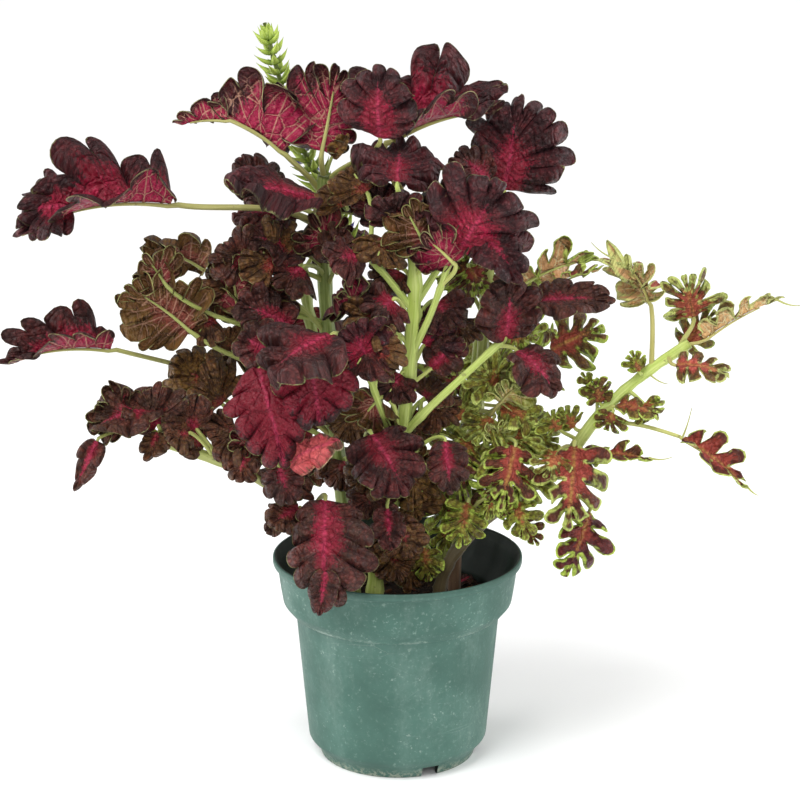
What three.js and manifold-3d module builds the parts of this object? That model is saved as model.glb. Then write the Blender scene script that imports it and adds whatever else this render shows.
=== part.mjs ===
// A coleus growing in a round plastic nursery pot: ruffled dark leaves, finely cut green-edged leaves and
// one flower spike. Millimetres, +Z up, origin at the middle of the pot's foot, on the surface that it
// stands on.
import * as THREE from "three";
import { mergeVertices } from "three/addons/utils/BufferGeometryUtils.js";
import Module from "manifold-3d";

const wasm = await Module();
wasm.setup();

// The pot is a six-inch azalea pot: a tapered shell with a flared collar, a beaded rim and a foot ring.
const POT_HEIGHT = 127;
const RIM_RADIUS = 76;
const RIM_BEAD = 3.5;
const COLLAR_BOTTOM = 100;
const BODY_TOP_RADIUS = 64.5;
const BODY_BOTTOM_RADIUS = 53.3;
const BODY_BOTTOM = 11.5;
const FOOT_RADIUS = 47.3;
const FOOT_WIDTH = 2.6;
const FOOT_HEIGHT = 5.6;
const WALL = 2.2;
const FLOOR_TOP = 8;
const POT_SEGMENTS = 32;

// Gaps in the foot ring, and behind each one a drain slot through the floor. Azimuths run from the front
// to +X.
const NOTCH_AZIMUTHS = [24, 86, 148, 210, 264];
const NOTCH_WIDTH = 10.5;
const NOTCH_HEIGHT = 6.6;
const DRAIN_WIDTH = 8;
const DRAIN_LENGTH = 6;

// The soil has a lumpy top, and the stems stand in plain upright holes in it.
const CLEARANCE = 0.3;
const SOIL_TOP = 98;
const SOIL_RELIEF = 1.5;
const SOIL_RINGS = 3;
const SOIL_SEGMENTS = 16;
const HOLE_BOTTOM = 78;
const HOLE_SIDES = 6;
const HOLE_CLEARANCE = 0.5;

// Stems and petioles. A shoot tapers to this part of its thickness, and a petiole grows with its blade's
// width, leaves the shoot this much upwards and is this much thicker at its root.
const STEM_SIDES = 6;
const SHOOT_TAPER = 0.72;
const PETIOLE_STEP = 38;
const PETIOLE_RADIUS = 1.1;
const PETIOLE_GAIN = 0.013;
const PETIOLE_RISE = 0.6;
const PETIOLE_FLARE = 0.3;

// Blades: the widest place along the midrib, how much narrower the base and the tip are, how far the
// first side vein leans back, the part of the width that the tip lobe reaches, and the ruffle and droop
// of the margin.
const BLADE_THICKNESS = 0.8;
const WIDEST_AT = 0.38;
const BASE_NARROWING = 0.58;
const TIP_NARROWING = 0.5;
const FIRST_VEIN_LEAN = 100;
const TIP_REACH = 0.25;
const RUFFLE = 0.11;
const RUFFLE_LOBES = 2.6;
const DROOP = 0.1;
const DEEP_CUT = 0.5;
const SMALL_WIDTH = 46;

// One row for each leaf: [shoot it grows from, height on that shoot, blade base, blade tip, way its upper
// face looks, width, lobes a side, bend, fold, twist], in millimetres and degrees. The first route of a
// stem is the stem itself and starts at the bottom of its hole; the others branch off it.
const LEAFY_STEMS = [
  {
    name: "front_leafy_stem", cut: 0.42, colour: 0x4a1524,
    shoots: [
      { thickness: 9.5, route: [[-14, -24, 78.3], [-14, -24, 101], [-12, -23, 129], [-3, -22, 168],
        [2, -24, 203], [9, -26, 273], [10, -26, 309], [8, -20, 345]] },
      { thickness: 5.5, route: [[1, -24, 206], [14, -28, 222], [40, -31, 248], [61, -30, 268]] },
      { thickness: 4.5, route: [[8, -26, 258], [19, -34, 284], [30, -43, 318]] },
      { thickness: 4.5, route: [[10, -26, 288], [22, -20, 306], [38, -8, 330]] },
      { thickness: 4.5, route: [[10, -26, 284], [-5, -28, 304], [-19, -26, 320]] },
      { thickness: 4.2, route: [[-1, -24, 202], [-11, -36, 232], [-18, -47, 256]] },
    ],
    leaves: [
      [0, 340, [3, 4, 382], [60, 14, 392], [-8, -45, 85], 112, 5, 45, 48, 0],
      [3, 326, [72, 10, 350], [78, 20, 404], [5, -90, 35], 66, 5, 35, 15, 0],
      [2, 312, [30, -44, 328], [78, -54, 352], [-5, -80, 55], 84, 5, 60, 0, 0],
      [0, 340, [0, -34, 362], [2, -5, 382], [0, -70, 70], 58, 5, 50, -10, 0],
      [5, 250, [-14, -45, 261], [-5, -49, 286], [-10, -85, 45], 34, 4, 50, 15, 0],
      [0, 150, [-24, -42, 198], [8, -70, 183], [10, -80, 60], 46, 4, 45, 0, 0],
      [1, 262, [63, -30, 270], [65, -35, 307], [20, -90, 45], 46, 4, 45, 10, 0],
      [1, 264, [70, -29, 262], [93, -46, 238], [15, -50, 85], 36, 4, 45, 10, 0],
      [1, 266, [79, -24, 289], [126, -22, 290], [0, -55, 80], 36, 4, 30, 15, 60],
      [0, 236, [20, -24, 250], [38, -24, 268], [-20, -90, 20], 26, 3, 25, 10, 0],
      [0, 185, [28, -40, 210], [31, -54, 181], [10, -95, 20], 28, 4, 35, 5, 0],
      [4, 316, [-22, -32, 318], [-40, -42, 318], [-10, -70, 60], 34, 4, 50, 0, 0],
      [0, 335, [24, -12, 330], [28, -6, 358], [-10, -85, 40], 36, 4, 40, 10, 0],
      [0, 282, [-2, -12, 290], [-28, -14, 292], [0, -70, 60], 26, 3, 30, 0, 0],
      [0, 328, [-6, -10, 336], [-15, -8, 356], [-30, -80, 40], 38, 4, 45, 0, 0],
      [0, 175, [-6, -44, 170], [-4, -56, 146], [0, -90, 30], 22, 3, 30, 10, 0],
    ],
  },
  {
    name: "left_leafy_stem", cut: 0.42, colour: 0x551a2b,
    shoots: [
      { thickness: 9, route: [[-27, 6, 78.3], [-27, 6, 101], [-30, 8, 125], [-38, 12, 202],
        [-43, 15, 282], [-44, 12, 343], [-43, 6, 360]] },
    ],
    leaves: [
      [0, 345, [-70, 0, 372], [-128, 5, 384], [0, 80, 60], 86, 5, 75, 52, 0],
      [0, 356, [-44, 0, 372], [-42, 8, 424], [10, 90, 10], 76, 5, 25, 20, 0],
      [0, 352, [-27, -24, 400], [10, -24, 408], [-10, -80, 55], 50, 5, 50, 0, 0],
      [0, 338, [-46, -14, 345], [-98, -38, 355], [0, -60, 80], 66, 4, 35, -10, 0],
      [0, 330, [-75, 25, 344], [-97, 40, 364], [0, -80, 50], 34, 4, 30, 10, 0],
      [0, 322, [-60, 14, 333], [-99, 10, 333], [0, -50, 85], 38, 4, 50, 0, 0],
      [0, 300, [-58, 5, 315], [-90, -10, 326], [0, -75, 60], 34, 4, 45, 10, 0],
      [0, 326, [-136, -5, 348], [-222, -18, 332], [0, -50, 85], 92, 5, 70, 20, -60],
      [0, 240, [-94, -10, 279], [-99, -10, 317], [10, 85, 30], 42, 4, 25, 15, 0],
      [0, 212, [-117, -20, 277], [-158, -35, 303], [-20, 80, 45], 58, 5, 40, 10, 0],
      [0, 262, [-114, 5, 307], [-151, 0, 321], [-10, 55, 75], 44, 4, 40, 15, 0],
      [0, 195, [-170, -15, 261], [-232, -20, 247], [0, 10, 95], 50, 4, 40, 30, 60],
      [0, 190, [-107, -8, 229], [-134, -12, 254], [-20, -70, 50], 44, 4, 40, 0, 0],
      [0, 246, [-63, -16, 273], [-96, -22, 289], [0, -75, 60], 42, 4, 45, 0, 0],
      [0, 240, [-32, -60, 282], [-74, -84, 257], [-10, -55, 80], 48, 4, 55, 0, 0],
      [0, 285, [-37, 5, 305], [-32, -8, 332], [10, -90, 30], 34, 4, 35, 15, 0],
      [0, 352, [-38, 2, 371], [-28, -4, 385], [30, -60, 70], 12, 2, 20, 20, 0],
      [0, 335, [-20, 16, 338], [-32, 12, 362], [-10, -80, 40], 38, 4, 45, 0, 0],
      [0, 225, [-62, 26, 234], [-84, 28, 258], [0, -75, 55], 40, 4, 40, 0, 0],
      [0, 180, [-52, 16, 196], [-72, 14, 214], [-10, -85, 40], 30, 3, 35, 0, 0],
    ],
  },
  {
    name: "low_left_leafy_stem", cut: 0.4, colour: 0x7c1230,
    shoots: [
      { thickness: 6.5, route: [[-40, -33, 78.3], [-40, -33, 101], [-45, -37, 122], [-56, -40, 149],
        [-66, -38, 171], [-82, -36, 186], [-108, -34, 197], [-138, -32, 207]] },
    ],
    leaves: [
      [0, 206, [-145, -36, 217], [-184, -54, 188], [-25, -55, 75], 48, 4, 95, 0, 0],
      [0, 196, [-113, -30, 206], [-138, -37, 224], [-20, -75, 50], 30, 3, 40, 10, 0],
      [0, 186, [-88, -46, 208], [-94, -60, 187], [-10, -80, 40], 34, 3, 40, 0, 0],
      [0, 176, [-70, -52, 262], [-68, -72, 207], [0, -100, 15], 50, 4, 30, 0, 0],
      [0, 172, [-57, -60, 268], [-50, -72, 228], [5, -100, 15], 52, 4, 30, 0, 0],
      [0, 178, [-68, -44, 262], [-92, -46, 276], [-10, -90, 30], 36, 3, 30, 0, 0],
      [0, 158, [-64, -64, 206], [-30, -82, 219], [0, 60, 75], 28, 3, 40, 55, 0],
      [0, 150, [-42, -58, 180], [-43, -88, 122], [0, -95, 30], 56, 5, 45, 0, 0],
      [0, 140, [-58, -50, 172], [-80, -62, 162], [-10, -80, 50], 32, 3, 45, 0, 0],
      [0, 168, [-62, -34, 190], [-72, -52, 176], [-10, -70, 60], 30, 3, 50, 0, 0],
    ],
  },
  {
    name: "right_leafy_stem", cut: 0.6, colour: 0x4d5a24,
    shoots: [
      { thickness: 8, route: [[35, 12, 78.3], [35, 12, 101], [37, 12, 145], [45, 14, 189],
        [50, 12, 233], [53, 8, 284], [56, 6, 316]] },
    ],
    leaves: [
      [0, 290, [74, 22, 296], [120, 26, 311], [0, 70, 60], 40, 4, 30, 20, 0],
      [0, 280, [90, 6, 292], [122, 6, 302], [0, 20, 90], 22, 4, 30, 20, 0],
      [0, 240, [92, 14, 251], [126, 16, 266], [0, -75, 60], 42, 4, 30, 0, 0],
      [0, 185, [70, -20, 201], [61, -34, 167], [0, -90, 30], 40, 4, 45, 0, 0],
      [0, 182, [73, 0, 199], [98, -6, 201], [0, -80, 50], 34, 4, 40, 0, 0],
      [0, 236, [66, -2, 243], [99, -10, 232], [0, 50, 70], 24, 3, 45, 10, 0],
      [0, 215, [38, 26, 232], [24, 18, 214], [-10, -70, 60], 32, 4, 50, 0, 0],
      [0, 270, [44, 18, 288], [36, 14, 314], [-20, -80, 40], 34, 4, 40, 0, 0],
      [0, 140, [30, 0, 152], [54, -2, 160], [0, -70, 60], 24, 3, 40, 10, 0],
      [0, 200, [62, -4, 220], [84, -12, 214], [0, -70, 60], 28, 3, 45, 0, 0],
      [0, 310, [64, 8, 326], [60, 16, 346], [0, -80, 40], 30, 4, 40, 0, 0],
    ],
  },
  {
    name: "right_branch_leafy_stem", cut: 0.62, colour: 0x7d9436,
    shoots: [
      { thickness: 7.5, route: [[24, -18, 78.3], [24, -18, 101], [32, -20, 130], [61, -18, 162],
        [97, -10, 186], [121, -5, 216], [145, 0, 238], [174, 0, 259]] },
    ],
    leaves: [
      [0, 243, [149, 0, 281], [118, -2, 318], [-10, -45, 85], 60, 5, 50, 25, 0],
      [0, 254, [172, 8, 275], [174, 5, 301], [10, -95, 20], 32, 4, 30, 10, 0],
      [0, 257, [182, 0, 261], [228, -5, 288], [-10, 25, 95], 26, 4, 20, 45, 0],
      [0, 250, [165, -12, 249], [197, -16, 243], [0, -50, 85], 26, 4, 40, 10, 0],
      [0, 256, [170, 12, 254], [192, 16, 276], [20, -80, 50], 28, 4, 40, 10, 0],
      [0, 216, [130, -10, 223], [155, -16, 217], [0, -40, 90], 22, 3, 60, 10, 0],
      [0, 214, [119, -2, 226], [110, -2, 242], [10, -80, 50], 18, 3, 50, 10, 0],
      [0, 208, [169, -20, 207], [209, -30, 177], [30, -60, 75], 42, 4, 30, 15, 0],
      [0, 196, [108, -22, 200], [94, -44, 154], [10, -90, 40], 48, 5, 30, 0, 0],
      [0, 190, [116, -16, 197], [152, -24, 200], [0, -40, 90], 24, 3, 30, 20, 0],
      [0, 172, [103, -22, 160], [92, -32, 121], [30, -85, 30], 46, 4, 35, 0, 0],
      [0, 150, [70, -14, 158], [85, -20, 139], [0, -85, 40], 20, 4, 30, 10, 0],
    ],
  },
  {
    name: "back_left_leafy_stem", cut: 0.42, colour: 0x3f1a22,
    shoots: [
      { thickness: 8, route: [[-26, 38, 78.3], [-26, 38, 101], [-32, 43, 150], [-45, 49, 215],
        [-54, 52, 262], [-58, 52, 292]] },
    ],
    leaves: [
      [0, 290, [-66, 62, 306], [-98, 82, 298], [-20, 55, 80], 60, 4, 50, 0, 0],
      [0, 290, [-46, 64, 306], [-22, 84, 304], [20, 55, 80], 52, 4, 50, 0, 0],
      [0, 276, [-82, 52, 286], [-124, 64, 272], [-30, 25, 90], 60, 4, 50, 0, 0],
      [0, 262, [-54, 68, 264], [-50, 84, 228], [0, 85, 45], 58, 4, 40, 0, 0],
      [0, 238, [-80, 46, 248], [-114, 54, 234], [-50, 5, 80], 50, 3, 50, 0, 0],
      [0, 222, [-60, 66, 222], [-76, 82, 190], [-10, 85, 45], 56, 4, 40, 0, 0],
      [0, 190, [-64, 50, 198], [-100, 60, 184], [-40, 25, 80], 48, 3, 50, 0, 0],
      [0, 168, [-42, 64, 174], [-46, 84, 144], [0, 85, 45], 46, 3, 40, 0, 0],
    ],
  },
  {
    name: "back_right_leafy_stem", cut: 0.6, colour: 0x5c6d2a,
    shoots: [
      { thickness: 7.5, route: [[26, 40, 78.3], [26, 40, 101], [33, 45, 150], [45, 51, 210],
        [51, 54, 250], [54, 54, 276]] },
    ],
    leaves: [
      [0, 274, [63, 62, 284], [88, 78, 274], [30, 40, 80], 46, 4, 50, 0, 0],
      [0, 274, [48, 64, 286], [42, 88, 272], [0, 70, 70], 46, 4, 50, 0, 0],
      [0, 256, [70, 50, 262], [100, 54, 248], [50, 5, 80], 40, 4, 50, 0, 0],
      [0, 244, [54, 66, 242], [62, 84, 212], [10, 85, 45], 46, 4, 40, 0, 0],
      [0, 224, [28, 62, 230], [14, 84, 216], [-20, 70, 70], 42, 4, 50, 0, 0],
      [0, 206, [64, 54, 206], [96, 66, 190], [50, 25, 80], 42, 4, 50, 0, 0],
      [0, 176, [38, 62, 178], [40, 84, 150], [0, 85, 45], 40, 4, 40, 0, 0],
      [0, 150, [54, 50, 152], [84, 58, 140], [50, 15, 80], 34, 3, 50, 0, 0],
    ],
  },
];

// The flower spike: pairs of pointed bracts, each pair turned from the last, smaller towards the end. Its
// first and last pairs stand at these parts of the stem's length.
const SPIKE = {
  name: "flower_spike_stem", colour: 0x8fae4a, thickness: 6, tipThickness: 2.4,
  route: [[2, 24, 78.3], [2, 24, 101], [-1, 27, 140], [-12, 34, 220], [-24, 37, 290], [-40, 36, 335],
    [-56, 33, 372], [-67, 30, 412], [-75, 27, 446]],
  pairs: 12, places: [0.74, 0.985], turn: 1.15, bractLength: [12, 6], bractWidth: [7, 4.5], bractRidge: 0.8,
};

// Leaves that have dropped on the soil: [middle x, middle y, heading, length, width].
const FALLEN_LEAVES = [
  [42, 27, 60, 18, 12],
  [-44, -8, 150, 24, 16],
  [12, -46, 80, 18, 11],
];

function vector(numbers) {
  return new THREE.Vector3(...numbers);
}

// Turns a closed triangle geometry into a manifold solid.
function toSolid(geometry) {
  const bare = geometry.clone();
  bare.deleteAttribute("normal");
  bare.deleteAttribute("uv");
  const merged = mergeVertices(bare, 1e-4);
  return new wasm.Manifold(new wasm.Mesh({
    numProp: 3,
    vertProperties: Float32Array.from(merged.attributes.position.array),
    triVerts: Uint32Array.from(merged.index.array),
  }));
}

function solidFrom(points, triangles) {
  const geometry = new THREE.BufferGeometry();
  const numbers = points.flatMap((point) => point.toArray());
  geometry.setAttribute("position", new THREE.Float32BufferAttribute(numbers, 3));
  geometry.setIndex(triangles.flat());
  return toSolid(geometry);
}

function join(solids) {
  return solids.reduce((whole, piece) => whole.add(piece));
}

function namedMesh(name, solid, colour, roughness) {
  const { vertProperties, triVerts } = solid.getMesh();
  const geometry = new THREE.BufferGeometry();
  geometry.setAttribute("position", new THREE.BufferAttribute(vertProperties, 3));
  geometry.setIndex(new THREE.BufferAttribute(triVerts, 1));
  geometry.computeVertexNormals();
  const material = new THREE.MeshStandardMaterial({ color: colour, roughness, metalness: 0 });
  const mesh = new THREE.Mesh(geometry, material);
  mesh.name = name;
  return mesh;
}

// A rod through a route's own points, or with more rings between them, its radius running evenly from the
// start's to the end's, with flat closed ends.
function rod(route, ringsPerPoint, startRadius, endRadius) {
  const curve = new THREE.CatmullRomCurve3(route.map(vector), false, "centripetal");
  const steps = (route.length - 1) * ringsPerPoint;
  const across = new THREE.Vector3(1, 0, 0);
  const points = [];
  const triangles = [];
  for (let i = 0; i <= steps; i += 1) {
    const along = curve.getTangent(i / steps);
    across.addScaledVector(along, -across.dot(along)).normalize();
    const other = along.clone().cross(across);
    const radius = THREE.MathUtils.lerp(startRadius, endRadius, i / steps);
    for (let j = 0; j < STEM_SIDES; j += 1) {
      const angle = (2 * Math.PI * j) / STEM_SIDES;
      points.push(curve.getPoint(i / steps)
        .addScaledVector(across, radius * Math.cos(angle))
        .addScaledVector(other, radius * Math.sin(angle)));
      if (i < steps) {
        const a = i * STEM_SIDES + j;
        const b = i * STEM_SIDES + ((j + 1) % STEM_SIDES);
        triangles.push([a, b, b + STEM_SIDES], [a, b + STEM_SIDES, a + STEM_SIDES]);
      }
    }
  }
  const last = steps * STEM_SIDES;
  for (let j = 1; j < STEM_SIDES - 1; j += 1) {
    triangles.push([0, j + 1, j], [last, last + j, last + j + 1]);
  }
  return solidFrom(points, triangles);
}

// The leaf's own axes: its midrib's chord, its upper normal square to that, and its left side.
function leafFrame({ base, tip, faces }) {
  const along = tip.clone().sub(base);
  const chord = along.length();
  along.normalize();
  const up = faces.clone().addScaledVector(along, -faces.dot(along)).normalize();
  const left = up.clone().cross(along);
  return { along, up, left, chord };
}

// A point of the blade. The lobe number runs from 0 at the base to lobes + 0.5 at the tip, with a notch
// at each whole number; v runs from 0 on the midrib to 1 on the margin. The side veins fan out of the
// midrib, and their reach is the outline. The blade is then ruffled, folded, twisted and bent along an
// arc from base to tip.
function bladePoint(leaf, lobe, v, side) {
  const { along, up, left, chord } = leafFrame(leaf);
  const u = lobe / (leaf.lobes + 0.5);
  const arc = Math.max(leaf.bend, 0.01);
  const midrib = (chord * arc) / 2 / Math.sin(arc / 2);
  const narrowing = u < WIDEST_AT
    ? BASE_NARROWING * (1 - u / WIDEST_AT) ** 2
    : TIP_NARROWING * ((u - WIDEST_AT) / (1 - WIDEST_AT)) ** 2;
  const notch = Math.abs(2 * (lobe % 1) - 1);
  const reach = (leaf.width / 2) * (1 - narrowing) * (1 - leaf.cut * notch ** 3);
  const lean = THREE.MathUtils.degToRad(FIRST_VEIN_LEAN) * (1 - u) ** 0.8;
  const origin = midrib * 0.02 + u * (midrib * 0.98 - leaf.width * TIP_REACH);
  const x = origin + v * reach * Math.cos(lean);
  const y = v * reach * Math.sin(lean);
  const phase = 2.4 * leaf.number + (side > 0 ? 0 : 1.9);
  const wave = Math.sin((2 * Math.PI * lobe) / RUFFLE_LOBES + phase) * (1 - u ** 4);
  const height = leaf.width * (RUFFLE * v ** 1.5 * wave - DROOP * v ** 2 * Math.sin(lean));
  const across = side * y * Math.cos(leaf.fold);
  const raised = y * Math.sin(leaf.fold) + height;
  const turn = leaf.twist * (THREE.MathUtils.clamp(x / midrib, 0, 1) - 0.5);
  const turnedAcross = across * Math.cos(turn) - raised * Math.sin(turn);
  const turnedUp = across * Math.sin(turn) + raised * Math.cos(turn);
  const slope = arc * (0.5 - x / midrib);
  const radius = midrib / arc;
  return leaf.base.clone()
    .addScaledVector(along, radius * (Math.sin(arc / 2) - Math.sin(slope)) - Math.sin(slope) * turnedUp)
    .addScaledVector(up, radius * (Math.cos(slope) - Math.cos(arc / 2)) + Math.cos(slope) * turnedUp)
    .addScaledVector(left, turnedAcross);
}

// The blade as a sheet of triangles, the same on its upper and under side. A lobe has two shoulders, or
// one point where the leaf is deeply cut or small. The petiole joins on at the sheet's first three
// corners.
function bladeSheet(leaf) {
  const shoulders = leaf.cut > DEEP_CUT || leaf.width < SMALL_WIDTH ? [0.5] : [0.25, 0.75];
  const points = [];
  const triangles = [];
  const corner = (lobe, v, side) => points.push(bladePoint(leaf, lobe, v, side)) - 1;
  const starts = [corner(0, 1, 1), corner(0, 0, 1), corner(0, 1, -1)];
  const spine = [starts[1]];
  for (let lobe = 1; lobe <= leaf.lobes; lobe += 1) {
    spine.push(corner(lobe, 0, 1));
  }
  spine.push(corner(leaf.lobes + 0.5, 0, 1));
  const tip = corner(leaf.lobes + 0.5, 1, 1);
  for (const side of [1, -1]) {
    const face = (a, b, c) => triangles.push(side > 0 ? [a, b, c] : [a, c, b]);
    let start = starts[1 - side];
    for (let lobe = 0; lobe < leaf.lobes; lobe += 1) {
      const crown = shoulders.map((part) => corner(lobe + part, 1, side));
      const margin = [start, ...crown, corner(lobe + 1, 1, side)];
      const loop = [spine[lobe + 1], ...margin.toReversed()];
      for (let i = 0; i < loop.length - 1; i += 1) {
        face(spine[lobe], loop[i], loop[i + 1]);
      }
      start = margin.at(-1);
    }
    const shoulder = corner(leaf.lobes + 0.28, 1, side);
    face(spine[leaf.lobes], spine[leaf.lobes + 1], start);
    face(spine[leaf.lobes + 1], shoulder, start);
    face(spine[leaf.lobes + 1], tip, shoulder);
  }
  return { points, triangles };
}

// Where a route passes a height.
function placeOn(route, height) {
  const next = Math.max(1, route.findIndex((point) => point[2] >= height));
  const [low, high] = [route[next - 1], route[next]];
  return vector(low).lerp(vector(high), (height - low[2]) / (high[2] - low[2]));
}

// The petiole leaves its shoot upwards and outwards and arrives in line with the midrib.
function petioleCurve(leaf) {
  const { along, up } = leafFrame(leaf);
  const arrival = along.clone().multiplyScalar(Math.cos(leaf.bend / 2));
  arrival.addScaledVector(up, Math.sin(leaf.bend / 2));
  const end = leaf.base.clone().addScaledVector(arrival, -1 - 0.02 * leaf.width);
  const span = leaf.root.distanceTo(end);
  const departure = end.clone().sub(leaf.root).normalize();
  departure.add(new THREE.Vector3(0, 0, PETIOLE_RISE)).normalize();
  return new THREE.CubicBezierCurve3(
    leaf.root,
    leaf.root.clone().addScaledVector(departure, 0.35 * span),
    end.clone().addScaledVector(arrival, -0.3 * span),
    end,
  );
}

// The blade is given its thickness with a rim round the margin, and its open base is carried on as a
// three-sided petiole, ring after ring, down to the root inside the shoot.
function leafSolid(leaf) {
  const { points, triangles } = bladeSheet(leaf);
  const normals = points.map(() => new THREE.Vector3());
  for (const [a, b, c] of triangles) {
    const normal = points[b].clone().sub(points[a]).cross(points[c].clone().sub(points[a]));
    [a, b, c].forEach((corner) => normals[corner].add(normal));
  }
  const half = BLADE_THICKNESS / 2;
  const above = points.map((point, i) => point.clone().addScaledVector(normals[i].normalize(), half));
  const below = points.map((point, i) => point.clone().addScaledVector(normals[i], -half));
  const under = points.length;
  const [left, middle, right] = [0, 1, 2];
  const edges = new Set(triangles.flatMap(([a, b, c]) => [`${a},${b}`, `${b},${c}`, `${c},${a}`]));
  const faces = [...triangles, ...triangles.map(([a, b, c]) => [a + under, c + under, b + under])];
  for (const edge of edges) {
    const [a, b] = edge.split(",").map(Number);
    const atBase = leaf.root && ((a === middle && b === right) || (a === left && b === middle));
    if (!edges.has(`${b},${a}`) && !atBase) {
      faces.push([a + under, b + under, b], [a + under, b, a]);
    }
  }
  const corners = [...above, ...below];
  if (leaf.root) {
    addPetiole(leaf, corners, faces, { left, middle, right, under });
  }
  return solidFrom(corners, faces);
}

function addPetiole(leaf, corners, faces, { left, middle, right, under }) {
  const curve = petioleCurve(leaf);
  const steps = Math.max(2, Math.round(curve.getLength() / PETIOLE_STEP));
  const radius = PETIOLE_RADIUS + PETIOLE_GAIN * leaf.width;
  const up = leafFrame(leaf).up;
  let ring = corners.length;
  for (let step = 0; step <= steps; step += 1) {
    const along = curve.getTangentAt(1 - step / steps);
    up.addScaledVector(along, -up.dot(along)).normalize();
    const across = up.clone().cross(along);
    const centre = curve.getPointAt(1 - step / steps);
    const reach = radius * (1 + (PETIOLE_FLARE * step) / steps);
    corners.push(
      centre.clone().addScaledVector(across, 0.87 * reach).addScaledVector(up, 0.5 * reach),
      centre.clone().addScaledVector(across, -0.87 * reach).addScaledVector(up, 0.5 * reach),
      centre.clone().addScaledVector(up, -reach),
    );
    if (step > 0) {
      for (const [a, b] of [[1, 0], [2, 1], [0, 2]]) {
        faces.push([ring - 3 + a, ring - 3 + b, ring + b], [ring - 3 + a, ring + b, ring + a]);
      }
    }
    ring += 3;
  }
  faces.push([ring - 3, ring - 1, ring - 2]);
  const leftTop = corners.length - 3 * (steps + 1);
  const [rightTop, keel] = [leftTop + 1, leftTop + 2];
  faces.push(
    [leftTop, rightTop, middle], [leftTop, middle, left], [rightTop, right, middle],
    [keel, left + under, middle + under], [keel, middle + under, right + under],
    [leftTop, left, left + under], [leftTop, left + under, keel],
    [rightTop, right + under, right], [rightTop, keel, right + under],
  );
}

function readLeaf(row, number, stem) {
  const [shoot, height, base, tip, faces, width, lobes, bend, fold, twist] = row;
  return {
    number, width, lobes, cut: stem.cut,
    root: placeOn(stem.shoots[shoot].route, height),
    base: vector(base), tip: vector(tip), faces: vector(faces),
    bend: THREE.MathUtils.degToRad(bend),
    fold: THREE.MathUtils.degToRad(fold),
    twist: THREE.MathUtils.degToRad(twist),
  };
}

function shootSolid({ route, thickness }) {
  return rod(route, 1, thickness / 2, (thickness * SHOOT_TAPER) / 2);
}

function leafyStem(stem) {
  const leaves = stem.leaves.map((row, number) => readLeaf(row, number, stem));
  const solids = [...stem.shoots.map(shootSolid), ...leaves.map(leafSolid)];
  return namedMesh(stem.name, join(solids), stem.colour, 0.6);
}

// A pointed bract: a thin four-sided spearhead that leans outwards from the spike.
function bractSolid(foot, out, rise, length, width) {
  const side = out.clone().cross(rise).normalize();
  const heading = out.clone().add(rise).normalize();
  const ridge = heading.clone().cross(side).multiplyScalar(SPIKE.bractRidge);
  const widest = foot.clone().addScaledVector(heading, length * 0.4);
  const points = [
    foot, foot.clone().addScaledVector(heading, length),
    widest.clone().addScaledVector(side, width / 2), widest.clone().addScaledVector(side, -width / 2),
    widest.clone().add(ridge), widest.clone().sub(ridge),
  ];
  const ring = [2, 4, 3, 5];
  const triangles = ring.flatMap((a, i) => {
    const b = ring[(i + 1) % 4];
    return [[0, b, a], [1, a, b]];
  });
  return solidFrom(points, triangles);
}

function flowerSpike() {
  const curve = new THREE.CatmullRomCurve3(SPIKE.route.map(vector), false, "centripetal");
  const solids = [rod(SPIKE.route, 2, SPIKE.thickness / 2, SPIKE.tipThickness / 2)];
  for (let pair = 0; pair < SPIKE.pairs; pair += 1) {
    const part = pair / (SPIKE.pairs - 1);
    const at = THREE.MathUtils.lerp(...SPIKE.places, part);
    const rise = curve.getTangentAt(at);
    const middle = curve.getPointAt(at);
    const length = THREE.MathUtils.lerp(...SPIKE.bractLength, part);
    const width = THREE.MathUtils.lerp(...SPIKE.bractWidth, part);
    for (const angle of [pair * SPIKE.turn, pair * SPIKE.turn + Math.PI]) {
      const out = new THREE.Vector3(Math.cos(angle), Math.sin(angle), 0);
      out.addScaledVector(rise, -out.dot(rise)).normalize();
      const foot = middle.clone().addScaledVector(out, SPIKE.tipThickness / 4);
      solids.push(bractSolid(foot, out, rise, length, width));
    }
  }
  return namedMesh(SPIKE.name, join(solids), SPIKE.colour, 0.6);
}

// Outside and inside of the pot in one closed profile, from the underside of its floor round to the
// floor's top.
function potProfile() {
  const innerTop = BODY_TOP_RADIUS - WALL;
  return [
    [0, FOOT_HEIGHT], [FOOT_RADIUS - FOOT_WIDTH, FOOT_HEIGHT], [FOOT_RADIUS - FOOT_WIDTH, 0],
    [FOOT_RADIUS, 0],
    [FOOT_RADIUS + 1.1, FOOT_HEIGHT], [BODY_BOTTOM_RADIUS, BODY_BOTTOM], [BODY_TOP_RADIUS, COLLAR_BOTTOM],
    [RIM_RADIUS - 5.6, COLLAR_BOTTOM + 8.5], [RIM_RADIUS - 2.6, POT_HEIGHT - 6],
    [RIM_RADIUS, POT_HEIGHT - RIM_BEAD], [RIM_RADIUS, POT_HEIGHT], [RIM_RADIUS - WALL, POT_HEIGHT],
    [RIM_RADIUS - 2.6 - WALL, POT_HEIGHT - 6],
    [RIM_RADIUS - 5.8 - WALL, COLLAR_BOTTOM + 9], [innerTop, COLLAR_BOTTOM],
    [BODY_BOTTOM_RADIUS - WALL, BODY_BOTTOM + 1], [FOOT_RADIUS, FLOOR_TOP], [0, FLOOR_TOP],
  ].map(([radius, height]) => new THREE.Vector2(radius, height));
}

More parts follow.
